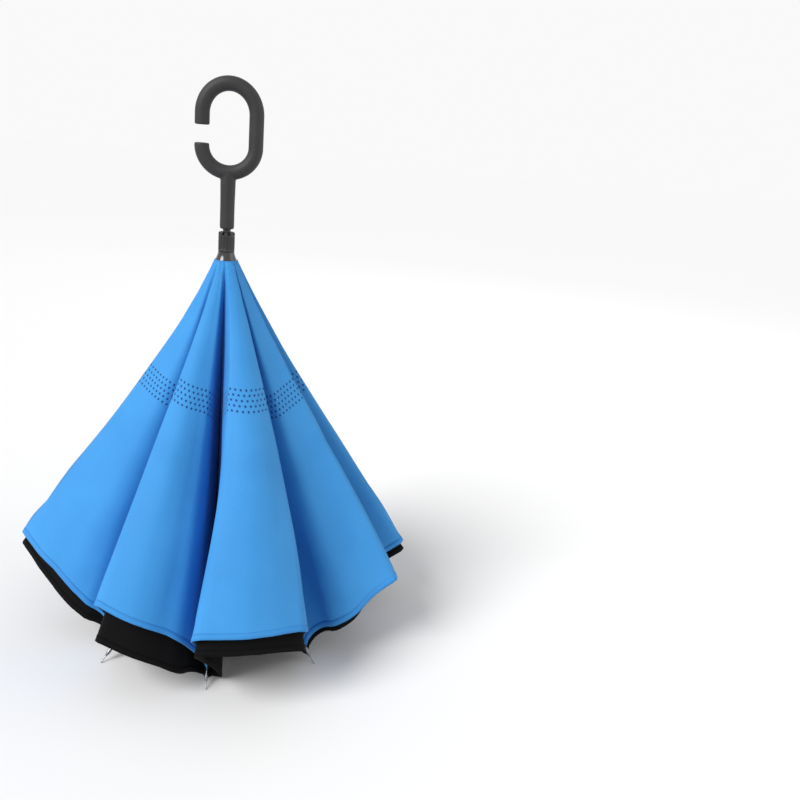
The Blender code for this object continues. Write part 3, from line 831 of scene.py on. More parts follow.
def rounded(profile: list[Point], radius: float, steps: int = 4, share: float = 0.45) -> list[Point]:
    """Rounds each inner corner of a profile.

    Args:
        profile: its points.
        radius: about how round a corner gets.
        steps: stretches round a corner.
        share: how much of a line one corner may take.

    Returns:
        The rounded profile.
    """
    result = [profile[0]]
    for before, corner, after in zip(profile, profile[1:], profile[2:]):
        middle = Vector(corner)
        ends = []
        for other in (before, after):
            line = Vector(other) - middle
            ends.append(middle + line.normalized() * min(radius, share * line.length))
        result += [tuple(point) for point in bend(ends[0], middle, ends[1], steps)]
    return [*result, profile[-1]]


def ring(count: int) -> list[float]:
    """The angles of points evenly round a ring."""
    return [2 * math.pi * i / count for i in range(count)]


def join_loops(bm: bmesh.types.BMesh, loops: list[list[bmesh.types.BMVert]]) -> None:
    """Adds the faces between each loop of points and the next.

    Args:
        bm: the mesh.
        loops: its loops, each with as many points.
    """
    for a, b in zip(loops, loops[1:]):
        for i in range(len(a)):
            j = (i + 1) % len(a)
            bm.faces.new((a[i], a[j], b[j], b[i]))


def open_with_ribs() -> bpy.types.GeometryNodeTree:
    """Geometry nodes that carry a cloth piece between two moving bodies.

    Each point has its closed place, its open place as each body carries it, and its share of the
    second body. The piece rides on the first body.

    Returns:
        The node group.
    """
    tree = bpy.data.node_groups.new("Open with the ribs", "GeometryNodeTree")
    inputs = (("Geometry", "Geometry"), ("Other body", "Object"), ("Shaft", "Object"))
    for name, kind in inputs:
        tree.interface.new_socket(name, in_out="INPUT", socket_type="NodeSocket" + kind)
    tree.interface.new_socket("Geometry", in_out="OUTPUT", socket_type="NodeSocketGeometry")
    nodes = Nodes(tree)
    taken = nodes.add("NodeGroupInput").outputs

    def seen(body: str) -> Socket:
        """Where a body stands, seen from the piece."""
        relative = {"transform_space": "RELATIVE"}
        return nodes.add("GeometryNodeObjectInfo", relative, Object=taken[body]).outputs["Transform"]

    def stored(name: str, kind: str = "FLOAT_VECTOR") -> Socket:
        """A value that is stored on the mesh."""
        node = nodes.add("GeometryNodeInputNamedAttribute", {"data_type": kind}, Name=name)
        return node.outputs["Attribute"]

    def between(share: Socket, first: Socket, second: Socket) -> Socket:
        """A place between two others."""
        return nodes.add("Mix", {"data_type": "VECTOR"}, _0=share, _4=first, _5=second).outputs[1]

    up = nodes.add("FunctionNodeTransformDirection", Direction=(0, 0, 1), Transform=seen("Shaft"))
    angle = nodes.math("ARCCOSINE", nodes.split(up.outputs[0])["Z"])
    clamped = {"operation": "DIVIDE", "use_clamp": True}
    opened = nodes.add("Math", clamped, _0=angle, _1=LINKAGE.swing).outputs[0]
    closed = nodes.add("GeometryNodeInputPosition").outputs[0]
    here, there = (between(opened, closed, stored(name)) for name in ("open_here", "open_there"))
    carried = nodes.add("FunctionNodeTransformPoint", Vector=there, Transform=seen("Other body"))
    place = between(stored("share", "FLOAT"), here, carried.outputs[0])
    moved = nodes.add("GeometryNodeSetPosition", Geometry=taken["Geometry"], Position=place)
    nodes.set(nodes.add("NodeGroupOutput").inputs[0], moved.outputs[0])
    return tree


@dataclass(frozen=True)
class Folds:
    """How one gore's two folds fall when closed.

    The turns are shares of the sector from the gore's first rib to each fold, and the tops are the
    same at the collar. The reaches and the drops are shares of the whole cloth's, and the bows are
    how far each fold is drawn in, most of all a third of the way down. Softness is how wide each
    fold is rounded, black_drops how much lower the black cloth hangs there, bulges how far the
    black walls swing sideways off each rib, and the wave how high the soft waves are, all in
    metres. The crown is how far the front stands out between its folds, as a share of its width;
    below 0 it is hollow. The belly adds to it halfway down. The hollows are how far the walls from
    seam to fold sink in, the same way.
    """

    turns: Point
    reaches: Point
    drops: Point
    softness: Point = (0.009, 0.030)
    black_drops: Point = (0.018, 0.018)
    bulges: Point = (0.0, 0.0)
    tops: Point = (0.16, 0.84)
    bows: Point = (0.345, 0.345)
    wave: float = 0.0062
    crown: float = 0.050
    belly: float = 0.0
    hollows: Point = (0.0, 0.0)


FOLDS = (
    Folds(
        (-0.083, 0.62), (0.935, 0.930), (0.986, 1.006), (0.009, 0.012), (0.010, 0.012), (0.016, 0.003),
        tops=(0.31, 0.96), bows=(0.345, 0.29), belly=0.17,
    ),
    Folds(
        (0.19, 0.51), (0.784, 0.980), (1.108, 0.996), (0.024, 0.018), (-0.004, -0.022),
        tops=(0.10, 0.80), bows=(0.12, 0.30), crown=-0.030, hollows=(0.28, 0.0), wave=0.0032, belly=0.05,
    ),
    Folds(
        (0.07, 0.55), (0.978, 0.870), (1.003, 1.037), (0.012, 0.034), (0.002, 0.010),
        tops=(0.22, 0.78), bows=(0.21, 0.30),
    ),
    Folds((0.28, 0.78), (0.915, 0.800), (0.955, 1.050), (0.012, 0.032), (0.008, 0.016), (0.0, 0.006)),
    Folds((-0.05, 0.58), (0.945, 0.925), (0.985, 1.008), (0.010, 0.016), (0.010, 0.008), (0.010, 0.0)),
    Folds((0.14, 0.50), (0.810, 0.975), (1.080, 0.990), (0.030, 0.010), (0.004, 0.002)),
    Folds(
        (0.06, 0.57), (0.958, 0.732), (0.955, 1.058), (0.008, 0.034), (0.002, 0.016),
        tops=(0.18, 0.80), bows=(0.345, 0.30), wave=0.0040, hollows=(0.0, 0.20),
    ),
    Folds(
        (0.30, 0.84), (0.895, 0.766), (0.951, 1.055), (0.009, 0.020), (0.036, 0.034), (0.0, 0.006),
        tops=(0.20, 0.80), crown=0.060, belly=0.13,
    ),
)


@dataclass(frozen=True)
class Wave:
    """Soft noise on the closed cloth: how many features it has across and down, and its share."""

    across: float
    down: float
    seed: float
    share: float = 1.0

    def height(self, across: float, down: float, number: int) -> float:
        """Its height at a place of one gore's cloth."""
        place = Vector((self.across * across, self.down * down, self.seed * number))
        return self.share * noise.noise(place)


WAVES = (Wave(6.0, 1.1, 7.3), Wave(19.0, 1.8, 5.9, 0.18), Wave(3.0, 5.5, 3.1, 0.35))
PUCKERS = Wave(26.0, 5.0, 1.0, 0.0007)


@dataclass
class Gore:
    """The cloth between two ribs: blue outside, black inside, and the black cone below them."""

    number: int
    columns: int = 44
    rows: int = 60
    cone_rows: int = 14
    cloth_along: float = 0.5220
    collar_radius: float = 0.0147
    collar_height: float = 0.5199
    collar_share: float = 0.045
    reach: float = 0.2820
    drop: float = 0.4300
    black_crown: float = -0.025
    black_hollow: float = 1.15
    blue_gap: float = 0.0030
    black_gap: float = -0.0030
    rib_side: float = 0.0023
    inset: float = 0.0036
    blue_corner: float = 1.030
    blue_hem_bow: float = 0.083
    blue_hem_power: float = 0.75
    black_corner: float = 1.050
    black_hem_bow: float = 0.073
    black_hem_power: float = 0.60
    knuckle_share: float = 0.492
    knuckle_clearance: float = 0.0046
    knuckle_reach: float = 0.06
    sag_share: float = 0.016
    top_softness: float = 0.05
    softness_power: float = 1.6
    corner_share: float = 0.42
    corner_steps: int = 8
    bulge_drop: float = 1.2
    fold_hold: float = 0.30
    hold_power: float = 0.7
    seam_hold: float = 6.0
    waves_from: float = 0.6
    puckers_to: float = 0.35
    slope_step: float = 0.01
    rim_radii: Point = (0.0074, 0.0154)
    rim_gap: float = 0.0006

    @property
    def folds(self) -> Folds:
        """How its folds fall."""
        return FOLDS[self.number - 1]

    @property
    def next_number(self) -> int:
        """The rib on its second side."""
        return self.number % LINKAGE.ribs + 1

    def hem(self, across: float, layer: Layer) -> float:
        """Where the hem lies.

        Args:
            across: the share from the first seam to the second.
            layer: which cloth.

        Returns:
            The share of the ribs' cloth, from the collar down.
        """
        if layer is Layer.BLUE:
            return self.blue_corner - self.blue_hem_bow * arch(across) ** self.blue_hem_power
        return self.black_corner - self.black_hem_bow * arch(across) ** self.black_hem_power

    def seam(self, side: Side, share: float, outwards: float) -> Vector:
        """A point of a closed seam, which follows its rib up to the runner's collar.

        Args:
            side: which seam.
            share: how far down the ribs' cloth it is.
            outwards: its distance from the rib's middle line.

        Returns:
            The point.
        """
        number = self.number + side.value
        on_rib = LINKAGE.at(number, *LINKAGE.rib_point(share * self.cloth_along, outwards))
        collar = LINKAGE.at(number, self.collar_radius, self.collar_height)
        return collar.lerp(on_rib, smoothstep(share / self.collar_share))

    def fold(self, side: Side, share: float) -> Vector:
        """A point of a closed fold.

        Args:
            side: which fold.
            share: how far down the ribs' cloth it is.

        Returns:
            The point.
        """
        i = side.value
        top = self.folds.tops[i]
        turn = top + (self.folds.turns[i] - top) * min(share, 1.0)
        reach = share - self.folds.bows[i] * share * (1 - min(share, 1.0)) ** 2
        radius = self.collar_radius + self.reach * self.folds.reaches[i] * reach
        height = self.collar_height - self.drop * self.folds.drops[i] * share
        return LINKAGE.at(self.number + turn, radius, height)

    @staticmethod
    def moved_in(before: Vector, corner: Vector, after: Vector, depth: float) -> Vector:
        """Moves two lines inwards, seen from above.

        Args:
            before: where the first line starts.
            corner: where they meet.
            after: where the second line ends.
            depth: how far both move.

        Returns:
            Where they meet then.
        """
        normals = []
        for start, end in ((before, corner), (corner, after)):
            line = (end - start).xy.normalized()
            normals.append(Vector((-line.y, line.x, 0.0)))
        return corner + depth * (normals[0] + normals[1]) / (1 + normals[0].dot(normals[1]))

    def below_knuckle(self, share: float) -> float:
        """0 down to the knuckles, then smoothly up to 1 at the ribs' ends."""
        return smoothstep((share - self.knuckle_share) / (1 - self.knuckle_share))

    def section(self, share: float, layer: Layer) -> list[Vector]:
        """A closed cross-section with sharp corners.

        Args:
            share: how far down the ribs' cloth it is.
            layer: which cloth.

        Returns:
            Its corners, from one seam to the other.
        """
        if layer is Layer.BLUE:
            folds = [self.fold(side, share) for side in Side]
            seams = [self.seam(side, share, self.blue_gap) for side in Side]
            return [seams[0], *folds, seams[1]]
        swing = self.below_knuckle(share)
        downs = [swing * down for down in self.folds.black_drops]
        folds = [self.fold(side, share + min(downs[side.value], 0) / self.drop) for side in Side]
        seams = [self.seam(side, share, self.black_gap) for side in Side]
        sides = []
        for side, sign in ((Side.FIRST, 1), (Side.SECOND, -1)):
            across = LINKAGE.sideways(self.number + side.value)
            bulge = swing * self.folds.bulges[side.value]
            place = self.seam(side, share, 0.0) + sign * (self.rib_side + bulge) * across
            sides.append(place - self.bulge_drop * bulge * Vector((0, 0, 1)))
        first = self.moved_in(sides[0], folds[0], folds[1], self.inset)
        last = self.moved_in(folds[0], folds[1], sides[1], self.inset)
        first.z -= max(downs[0], 0)
        last.z -= max(downs[1], 0)
        return [seams[0], sides[0], first, last, sides[1], seams[1]]

    def curve(self, share: float, layer: Layer) -> list[Vector]:
        """A closed cross-section with its folds rounded and its front crowned.

        Args:
            share: how far down the ribs' cloth it is.
            layer: which cloth.

        Returns:
            Its points, from one seam to the other.
        """
        corners = self.section(share, layer)
        blue = layer is Layer.BLUE
        front = len(corners) // 2
        softness = min(1.0, self.top_softness + share**self.softness_power)
        depth = self.below_knuckle(share) * (1.0 if blue else self.black_hollow)
        crown = self.folds.crown + (0.0 if blue else self.black_crown)
        crown += self.folds.belly * arch(share)
        first, second = (-hollow * depth for hollow in self.folds.hollows)
        crowns = {front - 1: first, front: crown, front + 1: second}
        line = [corners[0]]
        for i in range(1, len(corners) - 1):
            before, corner, after = corners[i - 1 : i + 2]
            reach = self.rib_side / 2
            if i in (front - 1, front):
                reach = self.folds.softness[i - front + 1] * softness
            ends = []
            for way in (before - corner, after - corner):
                ends.append(corner + way.normalized() * min(reach, self.corner_share * way.length))
            if i in crowns:
                line += self.crowned(line[-1], ends[0], crowns[i])
            line += bend(ends[0], corner, ends[1], self.corner_steps)
        if blue:
            line += self.crowned(line[-1], corners[-1], second)
        return [*line, corners[-1]]

    @staticmethod
    def crowned(start: Vector, end: Vector, crown: float, steps: int = 12) -> list[Vector]:
        """A line that stands out between two points.

        Args:
            start: the first point.
            end: the last point.
            crown: how far it stands out, as a share of the way.
            steps: stretches along it.

        Returns:
            The points between the two.
        """
        chord = end - start
        out = Vector((chord.y, -chord.x, 0.0)).normalized()
        rise = crown * chord.length * out
        return [start + i / steps * chord + arch(i / steps) * rise for i in range(1, steps)]

    @staticmethod
    def along_line(line: list[Vector], across: float) -> Vector:
        """The point at a share of the line's length."""
        i, share = locate(line, across)
        return line[i].lerp(line[i + 1], share)

    def freedom(self, across: float, share: float, layer: Layer) -> float:
        """How freely the closed cloth waves: not at all on its ribs and little on its folds.

        Args:
            across: the share from the first seam to the second.
            share: how far down the ribs' cloth it is.
            layer: which cloth.

        Returns:
            From 0 to 1.
        """
        corners = self.section(share, layer)
        if layer is not Layer.BLUE:
            corners = [corners[0], *corners[2:4], corners[5]]
        swell = max(math.sin(math.pi * min(locate(corners, across)[1], 1.0)), 0.0) ** self.hold_power
        ends = min(1.0, self.seam_hold * across, self.seam_hold * (1 - across))
        return max(ends, 0.0) * (self.fold_hold + (1 - self.fold_hold) * swell)

    def wrinkled(self, line: list[Vector], across: float, share: float, layer: Layer) -> Vector:
        """A point of the closed cloth with its soft waves and, near the collar, its puckers.

        Args:
            line: the smooth cross-section.
            across: the share of the line's length.
            share: how far down the ribs' cloth it is.
            layer: which cloth.

        Returns:
            The point.
        """
        before = self.along_line(line, max(across - self.slope_step, 0.0))
        after = self.along_line(line, min(across + self.slope_step, 1.0))
        place = self.along_line(line, across)
        out = Vector((after.y - before.y, before.x - after.x, 0.0))
        if out.length < TINY:
            return place
        waves = sum(wave.height(across, share, self.number) for wave in WAVES)
        waves *= self.folds.wave * smoothstep(share / self.waves_from)
        puckers = PUCKERS.height(across, share, self.number)
        waves += puckers * (1 - smoothstep(share / self.puckers_to))
        return place + out.normalized() * waves * self.freedom(across, share, layer)

    def open_place(self, across: float, share: float, layer: Layer) -> Vector:
        """A point of the open cloth, which is stretched between its ribs.

        Args:
            across: the share from the first seam to the second.
            share: how far down the ribs' cloth it is.
            layer: which cloth.

        Returns:
            The point.
        """
        blue = layer is Layer.BLUE
        gap = self.blue_gap if blue else self.black_gap
        ends = []
        for side in Side:
            number = self.number + side.value
            place = LINKAGE.at(number, *LINKAGE.rib_point(share * self.cloth_along, gap))
            place = LINKAGE.open_rib(number) @ place
            start = LINKAGE.at(number, self.collar_radius, self.collar_height - LINKAGE.drop)
            near = share / self.collar_share
            if not blue:
                start = self.open_knuckle(number)
                near = (share - self.knuckle_share) / self.knuckle_reach
            ends.append(start.lerp(place, smoothstep(near)))
        sag = self.sag_share * (ends[1] - ends[0]).length * arch(across)
        return ends[0].lerp(ends[1], across) + Vector((0, 0, sag))

    def open_knuckle(self, number: int) -> Vector:
        """The place just below an open knuckle, where the black cloth is tied.

        Args:
            number: the rib's number.

        Returns:
            The place.
        """
        reach = LINKAGE.lean + LINKAGE.swing
        radius = LINKAGE.ring + LINKAGE.arm * math.sin(reach)
        height = LINKAGE.notch_height + LINKAGE.arm * math.cos(reach) - self.knuckle_clearance
        return LINKAGE.at(number, radius, height)

    def grid(self, layer: Layer, first: float, rows: int, from_hem: float | None = None) -> "Grid":
        """The blue or the black layer of this gore.

        Args:
            layer: which cloth.
            first: the share at which it starts.
            rows: how many rows of points follow the first.
            from_hem: with a value, only the band this wide above the hem, in metres.

        Returns:
            The grid of points, closed and open.
        """
        grid = Grid(self, self.columns, rows)
        for j in range(rows + 1):
            for i in range(self.columns + 1):
                across = i / self.columns
                hem = self.hem(across, layer)
                start = first if from_hem is None else hem - from_hem / self.cloth_along
                share = start + (hem - start) * j / rows
                closed = self.wrinkled(self.curve(share, layer), across, share, layer)
                grid.add(closed, self.open_place(across, share, layer), across, share, hem)
        return grid

    def cone_grid(self) -> "Grid":
        """The black cloth from under the notch up to the knuckles.

        Returns:
            The grid of points, closed and open.
        """
        grid = Grid(self, self.columns, self.cone_rows)
        top_share = self.knuckle_share
        top_line = self.curve(top_share, Layer.BLACK)
        rim_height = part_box("notch_hub")[0].z - self.rim_gap
        no_hem = 2.0
        for j in range(self.cone_rows + 1):
            share = max(j - 1, 0) / (self.cone_rows - 1)
            for i in range(self.columns + 1):
                across = i / self.columns
                rims = [LINKAGE.at(self.number + across, r, rim_height) for r in self.rim_radii]
                tops = [
                    self.wrinkled(top_line, across, top_share, Layer.BLACK),
                    self.open_place(across, top_share, Layer.BLACK),
                ]
                closed, opened = (rims[0] if j == 0 else rims[1].lerp(top, share) for top in tops)
                grid.add(closed, opened, across, top_share * share, no_hem)
        return grid


class Grid:
    """Rows of cloth points, each with a closed and an open place."""

    def __init__(self, gore: Gore, columns: int, rows: int) -> None:
        """Starts an empty grid.

        Args:
            gore: the gore that it belongs to.
            columns: cells across.
            rows: cells down.
        """
        self.gore = gore
        self.columns = columns
        self.rows = rows
        self.closed: list[Vector] = []
        self.opened: list[Vector] = []
        self.shares: list[float] = []
        self.flat: list[Point] = []
        self.edges: list[Point] = []

    def add(self, closed: Vector, opened: Vector, across: float, share: float, hem: float) -> None:
        """Adds a point, with its place on the flat cloth and its distances from seam and hem.

        Args:
            closed: its closed place.
            opened: its open place.
            across: the share from the first seam to the second.
            share: how far down the ribs' cloth it is.
            hem: the share at which the hem lies.
        """
        half = LINKAGE.sector / 2
        length = share * self.gore.cloth_along
        x = (2 * across - 1) * length * math.sin(half)
        self.closed.append(closed)
        self.opened.append(opened)
        self.shares.append(across)
        self.flat.append((x, length * math.cos(half)))
        seam = (length * math.sin(half) - abs(x)) * math.cos(half)
        self.edges.append((seam, (hem - share) * self.gore.cloth_along))

    def mesh(self, name: str, first: Matrix, second: Matrix) -> bpy.types.Mesh:
        """Builds the mesh.

        Args:
            name: the mesh's name.
            first: where the body that the piece rides on goes from closed to open.
            second: the same for the body on its other side.

        Returns:
            The mesh in its closed shape, with its open shape stored on its points.
        """
        mesh = bpy.data.meshes.new(name)
        wide = self.columns + 1
        corners = [j * wide + i for j in range(self.rows) for i in range(self.columns)]
        faces = [(a, a + wide, a + wide + 1, a + 1) for a in corners]
        mesh.from_pydata([tuple(p) for p in self.closed], [], faces)
        for attribute, matrix in (("open_here", first), ("open_there", second)):
            back = matrix.inverted()
            values = [c for p in self.opened for c in back @ p]
            mesh.attributes.new(attribute, "FLOAT_VECTOR", "POINT").data.foreach_set("vector", values)
        mesh.attributes.new("share", "FLOAT", "POINT").data.foreach_set("value", self.shares)
        for uv_name, table in (("flat", self.flat), ("edges", self.edges)):
            values = [c for loop in mesh.loops for c in table[loop.vertex_index]]
            mesh.uv_layers.new(name=uv_name).data.foreach_set("uv", values)
        mesh.shade_smooth()
        return mesh


@dataclass
class Canopy:
    """All the cloth: eight gores of three pieces, and their hems."""

    blue: bpy.types.Material
    blue_hem: bpy.types.Material
    black: bpy.types.Material
    cloth_thickness: float = 0.0004
    hem_thickness: float = 0.0011
    hem_width: float = 0.0080
    hem_rows: int = 2
    blue_flat: Point = (0.400, 0.500)
    blue_area: float = 0.100
    lining_flat: Point = (0.410, 0.280)
    lining_area: float = 0.076
    cone_flat: Point = (0.196, 0.262)
    cone_area: float = 0.0245

    def build(self) -> None:
        """Builds every gore."""
        self.opening = open_with_ribs()
        for number in range(1, LINKAGE.ribs + 1):
            gore = Gore(number)
            self.add_layer(gore, Layer.BLUE)
            self.add_layer(gore, Layer.BLACK)
            self.add_cone(gore)
            LOG.info("gore %d: blue, black and cone", number)

    def sheet(
        self,
        name: str,
        grid: Grid,
        bodies: str,
        material: bpy.types.Material,
        thickness: float,
    ) -> bpy.types.Object:
        """Puts a cloth piece between two bodies.

        Args:
            name: the piece's name, which starts with its colour.
            grid: its points.
            bodies: "rib" or "stretcher", the kind of body it is tied to.
            material: its finish.
            thickness: how thick it looks.

        Returns:
            The piece.
        """
        gore = grid.gore
        move = LINKAGE.open_rib if bodies == "rib" else LINKAGE.open_stretcher
        mesh = grid.mesh(name, move(gore.number), move(gore.next_number))
        slot = "blue_cloth" if name.startswith(Layer.BLUE.value) else "black_cloth"
        piece = add_piece(name, mesh, material, slot, f"{bodies}_{gore.number}")
        opening = piece.modifiers.new("Opening", "NODES")
        opening.node_group = self.opening
        others = {"Other body": f"{bodies}_{gore.next_number}", "Shaft": "handle_and_shaft"}
        for socket in self.opening.interface.items_tree:
            if socket.name in others:
                opening[socket.identifier] = frame["bodies"][others[socket.name]]
        solid = piece.modifiers.new("Cloth", "SOLIDIFY")
        solid.thickness = thickness
        solid.offset = 0.0
        return piece

    def add_layer(self, gore: Gore, layer: Layer) -> None:
        """Adds the blue or the black layer of a gore, with its hem.

        Args:
            gore: the gore.
            layer: which cloth.
        """
        blue = layer is Layer.BLUE
        material, hem_material = (self.blue, self.blue_hem) if blue else (self.black, self.black)
        first, rows = (0.0, gore.rows) if blue else (gore.knuckle_share, gore.rows * 2 // 3)
        name = f"{layer.value}_gore_{gore.number}"
        grid = gore.grid(layer, first, rows)
        piece = self.sheet(name, grid, "rib", material, self.cloth_thickness)
        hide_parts(f"canopy_{gore.number}" if blue else f"lining_{gore.number}")
        name = f"{layer.value}_hem_{gore.number}"
        grid = gore.grid(layer, first, self.hem_rows, self.hem_width)
        hem = self.sheet(name, grid, "rib", hem_material, self.hem_thickness)

    def add_cone(self, gore: Gore) -> None:
        """Adds the black cloth between two stretchers.

        Args:
            gore: the gore.
        """
        name = f"black_cone_{gore.number}"
        piece = self.sheet(name, gore.cone_grid(), "stretcher", self.black, self.cloth_thickness)


@dataclass
class Handle:
    """The open C grip and its stem, one soft-coated moulding."""

    material: bpy.types.Material
    tube_radius: float = 0.0093
    half_width: float = 0.0337
    top_height: float = 0.0370
    foot_height: float = 0.0325
    straight: float = 0.0385
    mouth: float = 0.0219
    mouth_rise: float = 0.0020
    end_edge: float = 0.0016
    end_steps: int = 4
    stem_radius: float = 0.0092
    stem_top_radius: float = 0.0097
    stem_edge: float = 0.0024
    voxel: float = 0.0008
    soft_factor: float = 0.5
    softening: int = 6
    sides: int = 48
    arc_steps: int = 40

    @property
    def grip_height(self) -> float:
        """The height of the C's lowest point."""
        bends = self.top_height + self.foot_height + 2 * self.tube_radius
        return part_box("handle")[1].z - bends - self.straight

    def path(self) -> list[Vector]:
        """The middle line of the C.

        Returns:
            Its points, from the upper end over the top to the lower end.
        """
        low = self.grip_height + self.tube_radius + self.foot_height
        mouth = low + self.mouth_rise
        points = [Vector((-self.half_width, 0.0, mouth + self.mouth))]
        bends = ((low + self.straight, self.top_height, math.pi), (low, self.foot_height, 0.0))
        for middle, height, start in bends:
            for i in range(self.arc_steps + 1):
                angle = start - math.pi * i / self.arc_steps
                x = self.half_width * math.cos(angle)
                points.append(Vector((x, 0.0, middle + height * math.sin(angle))))
        return [*points, Vector((-self.half_width, 0.0, mouth))]

    def sweep(self, bm: bmesh.types.BMesh) -> None:
        """Adds the C to a mesh, with slightly rounded ends.

        Args:
            bm: the mesh.
        """
        path = self.path()
        ends = [path[0]] + path[:-1], path[1:] + [path[-1]]
        tangents = [(after - before).normalized() for before, after in zip(*ends)]
        rings = self.end_rings(path[0], tangents[0])
        rings += [(place, along, self.tube_radius) for place, along in zip(path[1:-1], tangents[1:-1])]
        last = self.end_rings(path[-1], -tangents[-1])
        side = Vector((0.0, 1.0, 0.0))
        loops = []
        for i, (place, along, radius) in enumerate(rings + last[::-1]):
            across = along.cross(side) if i < len(rings) else side.cross(along)
            outs = [math.cos(angle) * across + math.sin(angle) * side for angle in ring(self.sides)]
            loops.append([bm.verts.new(place + radius * out) for out in outs])
        join_loops(bm, loops)
        bm.faces.new(loops[0])
        bm.faces.new(loops[-1])

    def end_rings(self, place: Vector, tangent: Vector) -> list[tuple[Vector, Vector, float]]:
        """Rings that round the edge of an end.

        Args:
            place: the middle of the end.
            tangent: the way from it into the tube.

        Returns:
            Each ring's middle, way and radius, from the flat face inwards.
        """
        rings = []
        for i in range(self.end_steps + 1):
            angle = math.radians(90 * i / self.end_steps)
            along = self.end_edge * (1 - math.cos(angle))
            inset = self.end_edge * (1 - math.sin(angle))
            rings.append((place + along * tangent, tangent, self.tube_radius - inset))
        return rings

    def build(self) -> None:
        """Builds the handle, with a soft fillet where the stem meets the C."""
        bm = bmesh.new()
        self.sweep(bm)
        low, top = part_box("handle")[0].z, self.grip_height + self.tube_radius
        profile = [
            (0.0, top),
            (self.stem_top_radius, top),
            (self.stem_top_radius, self.grip_height - self.stem_edge),
            (self.stem_radius, (low + self.grip_height) / 2),
            (self.stem_radius, low),
            (0.0, low),
        ]
        bm.from_mesh(turned("stem", rounded(profile, self.stem_edge), self.sides))
        mesh = smooth_mesh("handle", bm)
        piece = add_piece("c_grip_and_stem", mesh, self.material, "grip", "handle_and_shaft", "handle")
        remesh = piece.modifiers.new("One skin", "REMESH")
        remesh.mode = "VOXEL"
        remesh.voxel_size = self.voxel
        remesh.use_smooth_shade = True
        soften = piece.modifiers.new("Fillet", "SMOOTH")
        soften.factor = self.soft_factor
        soften.iterations = self.softening
        LOG.info("handle")


@dataclass
class Shaft:
    """The shaft and the ferrule on its lower end."""

    tube: bpy.types.Material
    cap: bpy.types.Material
    edge: float = 0.0006
    cap_edge: float = 0.0022
    cap_shape: Outline = ((1.0, 1.0), (1.0, 0.70), (0.94, 0.67), (0.92, 0.28), (0.62, 0.0))

    def build(self) -> None:
        """Builds both, from the frame's boxes."""
        tube = self.shape("shaft", ((1.0, 1.0), (1.0, 0.0)), self.edge)
        add_piece("shaft_tube", tube, self.tube, "shaft", "handle_and_shaft", "shaft")
        cap = self.shape("ferrule", self.cap_shape, self.cap_edge)
        add_piece("ferrule_cap", cap, self.cap, "plastic", "handle_and_shaft", "ferrule")
        LOG.info("shaft and ferrule")

    @staticmethod
    def shape(node: str, shares: Outline, edge: float) -> bpy.types.Mesh:
        """A turned mesh from shares of a node's radius and of its height.

        Args:
            node: the frame's node.
            shares: each point's share of the radius and of the height.
            edge: about how round a corner gets.

        Returns:
            The mesh.
        """
        low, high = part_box(node)
        profile = [(high.x * radius, low.z + (high.z - low.z) * up) for radius, up in shares]
        return turned(node, rounded([(0.0, high.z), *profile, (0.0, low.z)], edge))


